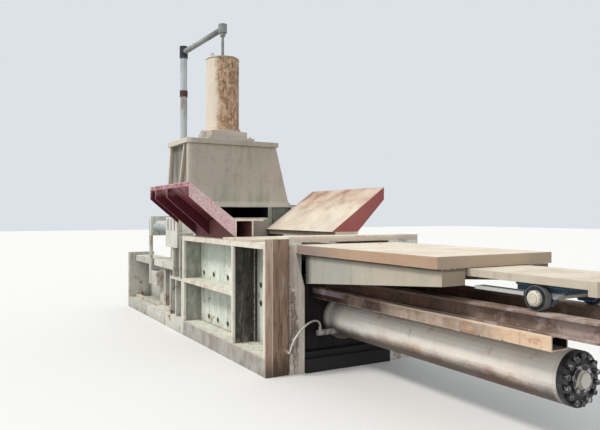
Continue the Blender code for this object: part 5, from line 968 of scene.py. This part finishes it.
def add_bolt(shape, place, direction, radius, stud=0.0):
    """A washer, a chamfered hexagon and, if asked for, a threaded end."""
    washer = 0.22 * radius
    height = 1.1 * radius
    add_turned(shape, place, direction, [
        (0, 0), (1.45 * radius, 0), (1.45 * radius, 0.8 * washer), (1.38 * radius, washer), (0, washer)])
    add_turned(shape, place, direction, [
        (0, washer), (radius, washer), (radius, washer + 0.82 * height), (0.86 * radius, washer + height),
        (0, washer + height)], 6)
    if stud > 0:
        top = washer + height
        rings = [(0, top)]
        for step in range(4):
            low = top + stud * step / 4
            rings += [(0.52 * radius, low), (0.45 * radius, low + stud / 8)]
        rings += [(0.45 * radius, top + stud), (0, top + stud)]
        add_turned(shape, place, direction, rings, 12)


def add_bead(shape, start, end, radius):
    """A rippled weld bead along a straight seam."""
    start, end = Vector(start), Vector(end)
    line = end - start
    count = max(4, round(line.length / BEAD_PITCH))
    carry = aimed(start, line)
    rings = []
    for step in range(count + 1):
        ripple = 1 + BEAD_RIPPLE * math.sin(step * 2.2 + 0.7 * math.sin(step * 0.37))
        size = radius * ripple * (0.35 if step in (0, count) else 1.0)
        wander = 0.25 * radius * math.sin(step * 0.53)
        rings.append(circle(shape, carry, size, BEAD_SIDES, line.length * step / count, wander))
    skin(shape, rings)
    shape.faces.new(rings[0])
    shape.faces.new(rings[-1])


def add_stitches(shape, start, end, radius, length, pitch):
    """Short weld beads, evenly spaced along a seam."""
    start, end = Vector(start), Vector(end)
    line = end - start
    aim = line.normalized()
    count = max(1, int(line.length / pitch))
    for step in range(count):
        middle = start + line * (step + 0.5) / count
        add_bead(shape, middle - aim * length / 2, middle + aim * length / 2, radius)


def add_ring(shape, place, direction, ring_radius, radius, steps, sides=BEAD_SIDES, ripple=BEAD_RIPPLE):
    """A round ring, rippled like a weld bead unless told otherwise."""
    carry = aimed(place, direction)
    rings = []
    for step in range(steps):
        turn = math.tau * step / steps
        size = radius * (1 + ripple * math.sin(step * 2.1))
        out = Vector((math.cos(turn), math.sin(turn), 0))
        tilts = [math.tau * side / sides for side in range(sides)]
        rings.append([
            shape.verts.new(
                carry @ (out * (ring_radius + size * math.cos(tilt)) + Vector((0, 0, size * math.sin(tilt)))))
            for tilt in tilts])
    skin(shape, rings, closed=True)


def add_plate(shape, carry, outline, thick):
    """A flat plate from an outline of (x, y) points, its thickness along +Z before it is carried."""
    low, high = [[shape.verts.new(carry @ Vector((x, y, level))) for x, y in outline] for level in (0, thick)]
    shape.faces.new(low[::-1])
    shape.faces.new(high)
    skin(shape, [low, high])


# Bolts through the liners, seen in the bays: places along the box and levels
WALL_FACE_Y = 0.7303
WALL_BOLT_PLACES = (
    (-2.3, 0.835), (-1.947, 0.835), (-1.489, 0.835), (-0.577, 0.841), (-0.577, 0.646),
    (-2.12, 0.277), (-1.81, 0.275), (-1.489, 0.275))
WALL_HOLE_RADIUS = 0.029


def wall_bolts(steel, dark):
    """Sunk bolts in both side walls: a worn ring, a dark hole and the bolt's end in it."""
    rims, holes, nuts = bmesh.new(), bmesh.new(), bmesh.new()
    radius = WALL_HOLE_RADIUS
    for side in (-1, 1):
        for x, z in WALL_BOLT_PLACES:
            place, out = (x, side * WALL_FACE_Y, z), (0, side, 0)
            add_turned(rims, place, out, [
                (radius, 0.0), (1.28 * radius, 0.0), (1.25 * radius, 0.003), (1.1 * radius, 0.004),
                (radius, 0.003), (radius, 0.0)])
            add_turned(holes, place, out, [
                (0, 0.0004), (0.6 * radius, 0.0006), (radius, 0.0016), (0, 0.0002)])
            add_turned(nuts, place, out, [
                (0, 0.0003), (0.42 * radius, 0.0003), (0.42 * radius, 0.004), (0.34 * radius, 0.006),
                (0, 0.006)], 6)
    keep("wall_bolt_rims", rims, steel)
    keep("wall_bolt_holes", holes, dark)
    keep("wall_bolt_nuts", nuts, dark)


# Tower rim's bolts, and the tamper collar's top with its bolts across and along
RIM_BOLT_X, RIM_BOLT_PITCH, RIM_BOLT_Z = -3.19, 0.165, 1.76
COLLAR_TOP_Z = 2.765
COLLAR_BOLTS = (
    (-0.328, 0.0), (0.328, 0.0), (-0.328, 0.17), (0.328, 0.17), (-0.328, -0.17), (0.328, -0.17),
    (0.17, -0.328), (-0.17, -0.328), (0.17, 0.328), (-0.17, 0.328))


def frame_bolts(steel):
    """Bolts on the tower's base rim and on the tamper's collar."""
    shape = bmesh.new()
    for step in range(6):
        x = RIM_BOLT_X - RIM_BOLT_PITCH * step
        add_bolt(shape, (x, TOWER_LOW.y + 0.03, RIM_BOLT_Z), UP, 0.015, 0.012)
        add_bolt(shape, (x, TOWER_HIGH.y - 0.055, RIM_BOLT_Z), UP, 0.017, 0.015)
    for x, y in COLLAR_BOLTS:
        add_bolt(shape, (TAMPER_AXIS_X + x, y, COLLAR_TOP_Z), UP, 0.014, 0.01)
    keep("frame_bolts", shape, steel)


# Lifting fins beside the collar's neck: width, height of their shoulder, and place out from the axis
FIN_WIDTH, FIN_SHOULDER, FIN_THICK = 0.08, 0.07, 0.02
FIN_OUT, FIN_BASE_Z = 0.2853, 2.7651


def tamper_lugs(paint, steel):
    """Lifting fins beside the collar's neck, and eye bolts on the cylinder's top."""
    fins = bmesh.new()
    round_top = [math.radians(angle) for angle in range(0, 181, 15)]
    outline = [(0.0, 0.0), (FIN_WIDTH, 0.0), (FIN_WIDTH, FIN_SHOULDER)]
    outline += [(0.04 + 0.04 * math.cos(turn), 0.095 + 0.04 * math.sin(turn)) for turn in round_top]
    outline.append((0.0, FIN_SHOULDER))
    for side in (-1, 1):
        carry = Matrix((
            (0, 0, 1, TAMPER_AXIS_X - FIN_THICK / 2), (side, 0, 0, side * FIN_OUT), (0, 1, 0, FIN_BASE_Z),
            (0, 0, 0, 1)))
        add_plate(fins, carry, outline, FIN_THICK)
    keep("tamper_lugs", fins, paint)
    eyes = bmesh.new()
    for y in (0.17, -0.17):
        place = Vector((TAMPER_AXIS_X, y, TAMPER_HIGH.z))
        add_turned(eyes, place, UP, [
            (0, 0), (0.022, 0), (0.022, 0.008), (0.012, 0.012), (0.011, 0.024), (0, 0.026)])
        add_ring(eyes, place + Vector((0, 0, 0.045)), TO_TAIL, 0.026, 0.009, 28, 10, 0.0)
    keep("tamper_eyes", eyes, steel, smooth=True)


# Seams of the plates, where the beads lie
CHEEK_SEAM_Y, CHEEK_SEAM_Z = 0.577, 1.208
SHELF_LEVELS = (0.19, 0.7391)
RIB_SEAM_Y, RIB_SEAM_X = 0.7313, (-2.419, -0.849, -0.739)
END_PLATE_SEAM_X = 0.0305


def welds(metal):
    """Beads along the seams that the plates are joined at."""
    shape = bmesh.new()
    wall, end_x, cheek = WALL_FACE_Y, END_PLATE_SEAM_X, CHEEK_HIGH - Vector((0, 0, 0.002))
    for side in (-1, 1):
        seam_y = side * CHEEK_SEAM_Y
        add_stitches(shape, (0.2, seam_y, CHEEK_SEAM_Z), (2.03, seam_y, CHEEK_SEAM_Z), 0.006, 0.09, 0.24)
        add_bead(shape, (cheek.x, side * 0.36, cheek.z), (cheek.x, side * 0.57, cheek.z), 0.005)
        add_bead(shape, (-0.73, side * wall, 1.245), (-0.06, side * wall, 1.245), 0.006)
    add_bead(shape, (end_x, -0.7097, 0.03), (end_x, -0.7097, 1.29), 0.0055)
    add_stitches(shape, (0.001, -0.64, 1.3203), (0.001, 0.9, 1.3203), 0.006, 0.1, 0.26)
    add_stitches(shape, (end_x, -0.612, 1.212), (end_x, 0.612, 1.212), 0.005, 0.08, 0.22)
    for level in SHELF_LEVELS:
        for side in (-1, 1):
            add_bead(shape, (-2.41, side * wall, level + 0.002), (-0.86, side * wall, level + 0.002), 0.006)
    for x in RIB_SEAM_X:
        for side in (-1, 1):
            add_bead(shape, (x, side * RIB_SEAM_Y, 0.2), (x, side * RIB_SEAM_Y, 1.25), 0.0055)
    for level, radius in ((TAMPER_HIGH.z - 0.018, 0.006), (TAMPER_LOW.z + 0.031, 0.007)):
        add_ring(shape, (TAMPER_AXIS_X, 0, level), UP, 0.2525, radius, RING_BEAD_STEPS)
    for x in (0.9, 1.9):
        add_stitches(shape, (x, -0.3605, 0.7415), (x + 0.6, -0.3605, 0.7415), 0.005, 0.07, 0.2)
    keep("welds", shape, metal, smooth=True)


# Small bolts round the carriage wheels' grease caps
CAP_BOLTS, CAP_BOLT_CIRCLE, CAP_BOLT_RADIUS = 6, 0.0535, 0.0035


def wheel_caps(cream, steel):
    """Domed grease caps with small bolts on both carriage wheels."""
    for side, body, node in ((-1, "near_wheel_body", "near_wheel"), (1, "far_wheel_body", "far_wheel")):
        low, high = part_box(node)
        centre = Vector(((low.x + high.x) / 2, side * max(abs(low.y), abs(high.y)), (low.z + high.z) / 2))
        shape = bmesh.new()
        add_turned(shape, centre, (0, side, 0), [
            (0.0345, 0.0), (0.047, 0.0), (0.0465, 0.003), (0.044, 0.0055), (0.038, 0.0075), (0.0345, 0.008),
            (0.0345, 0.0)])
        keep(body + "_cap", shape, cream, body, smooth=True)
        bolts = bmesh.new()
        for step in range(CAP_BOLTS):
            turn = math.tau * step / CAP_BOLTS
            place = centre + Vector((CAP_BOLT_CIRCLE * math.cos(turn), 0, CAP_BOLT_CIRCLE * math.sin(turn)))
            add_bolt(bolts, place, (0, side, 0), CAP_BOLT_RADIUS)
        keep(body + "_bolts", bolts, steel, body)


# Oil hose, along the same route as its solid, from the end plate's port to the barrel's
HOSE_RADIUS = 0.01
HOSE_BORE = 0.0102
HOSE_POINTS = 85
HOSE_ROUTE = (
    (0.0723, -0.745, 0.235), (0.08, -0.745, 0.235), (0.088, -0.745, 0.235), (0.108, -0.743, 0.262),
    (0.12, -0.728, 0.33), (0.126, -0.687, 0.398), (0.12, -0.634, 0.45), (0.104, -0.576, 0.488),
    (0.078, -0.51, 0.512), (0.048, -0.443, 0.521), (0.02, -0.383, 0.513), (0.004, -0.345, 0.488),
    (0.0, -0.335, 0.463), (0.0, -0.335, 0.452), (0.0, -0.335, 0.4433))


def smooth_points(route, count):
    """Points along a smooth curve through the route's points."""
    places = [Vector(point) for point in route]
    guides = [places[0] * 2 - places[1], *places, places[-1] * 2 - places[-2]]
    found = []
    for step in range(count):
        travel = (len(places) - 1) * step / (count - 1)
        index = min(int(travel), len(places) - 2)
        share = travel - index
        first, second, third, fourth = guides[index:index + 4]
        cube, square = share ** 3, share ** 2
        found.append(
            second * (2 * cube - 3 * square + 1) + (third - first) / 2 * (cube - 2 * square + share)
            + third * (3 * square - 2 * cube) + (fourth - second) / 2 * (cube - square))
    return found


def oil_hose(rubber, steel):
    """The hose as a smooth tube, with a crimped ferrule and a union nut at each end."""
    curve = bpy.data.curves.new("hose_line", "CURVE")
    curve.dimensions = "3D"
    curve.bevel_depth = HOSE_RADIUS
    curve.bevel_resolution = 6
    curve.use_fill_caps = True
    spline = curve.splines.new("POLY")
    points = smooth_points(HOSE_ROUTE, HOSE_POINTS)
    spline.points.add(len(points) - 1)
    for target, point in zip(spline.points, points):
        target.co = (*point, 1.0)
    curve.materials.append(rubber)
    hose = bpy.data.objects.new("hose_line", curve)
    bpy.context.scene.collection.objects.link(hose)
    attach(hose, FRAME_BODY)
    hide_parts("oil_hose")
    shape = bmesh.new()
    for place, direction in ((HOSE_ROUTE[0], TO_TAIL), (HOSE_ROUTE[-1], UP)):
        add_turned(shape, place, direction, [
            (HOSE_BORE, 0.0), (0.0175, 0.0), (0.0175, 0.01), (0.016, 0.012), (HOSE_BORE, 0.012),
            (HOSE_BORE, 0.0)], 6)
        add_turned(shape, place, direction, [
            (HOSE_BORE, 0.012), (0.0135, 0.012), (0.0138, 0.0135), (0.0128, 0.0148), (0.0138, 0.016),
            (0.0126, 0.0176), (HOSE_BORE, 0.018), (HOSE_BORE, 0.012)])
    ferrules = keep("hose_ferrules", shape, steel)


def add_details():
    """All the pieces that the solids leave out."""
    steel, dark = bright_steel(), hole_material()
    oil_hose(hose_material(), steel)
    wall_bolts(steel, dark)
    frame_bolts(steel)
    pale = weathered("lug_cream", (0.6, 0.55, 0.46), (0.72, 0.68, 0.6), 0.3, 0.3, 0.2)
    tamper_lugs(pale, steel)
    welds(weld_material())
    wheel_caps(pale, steel)


set_camera()
set_stage()
paint_nodes()
add_details()
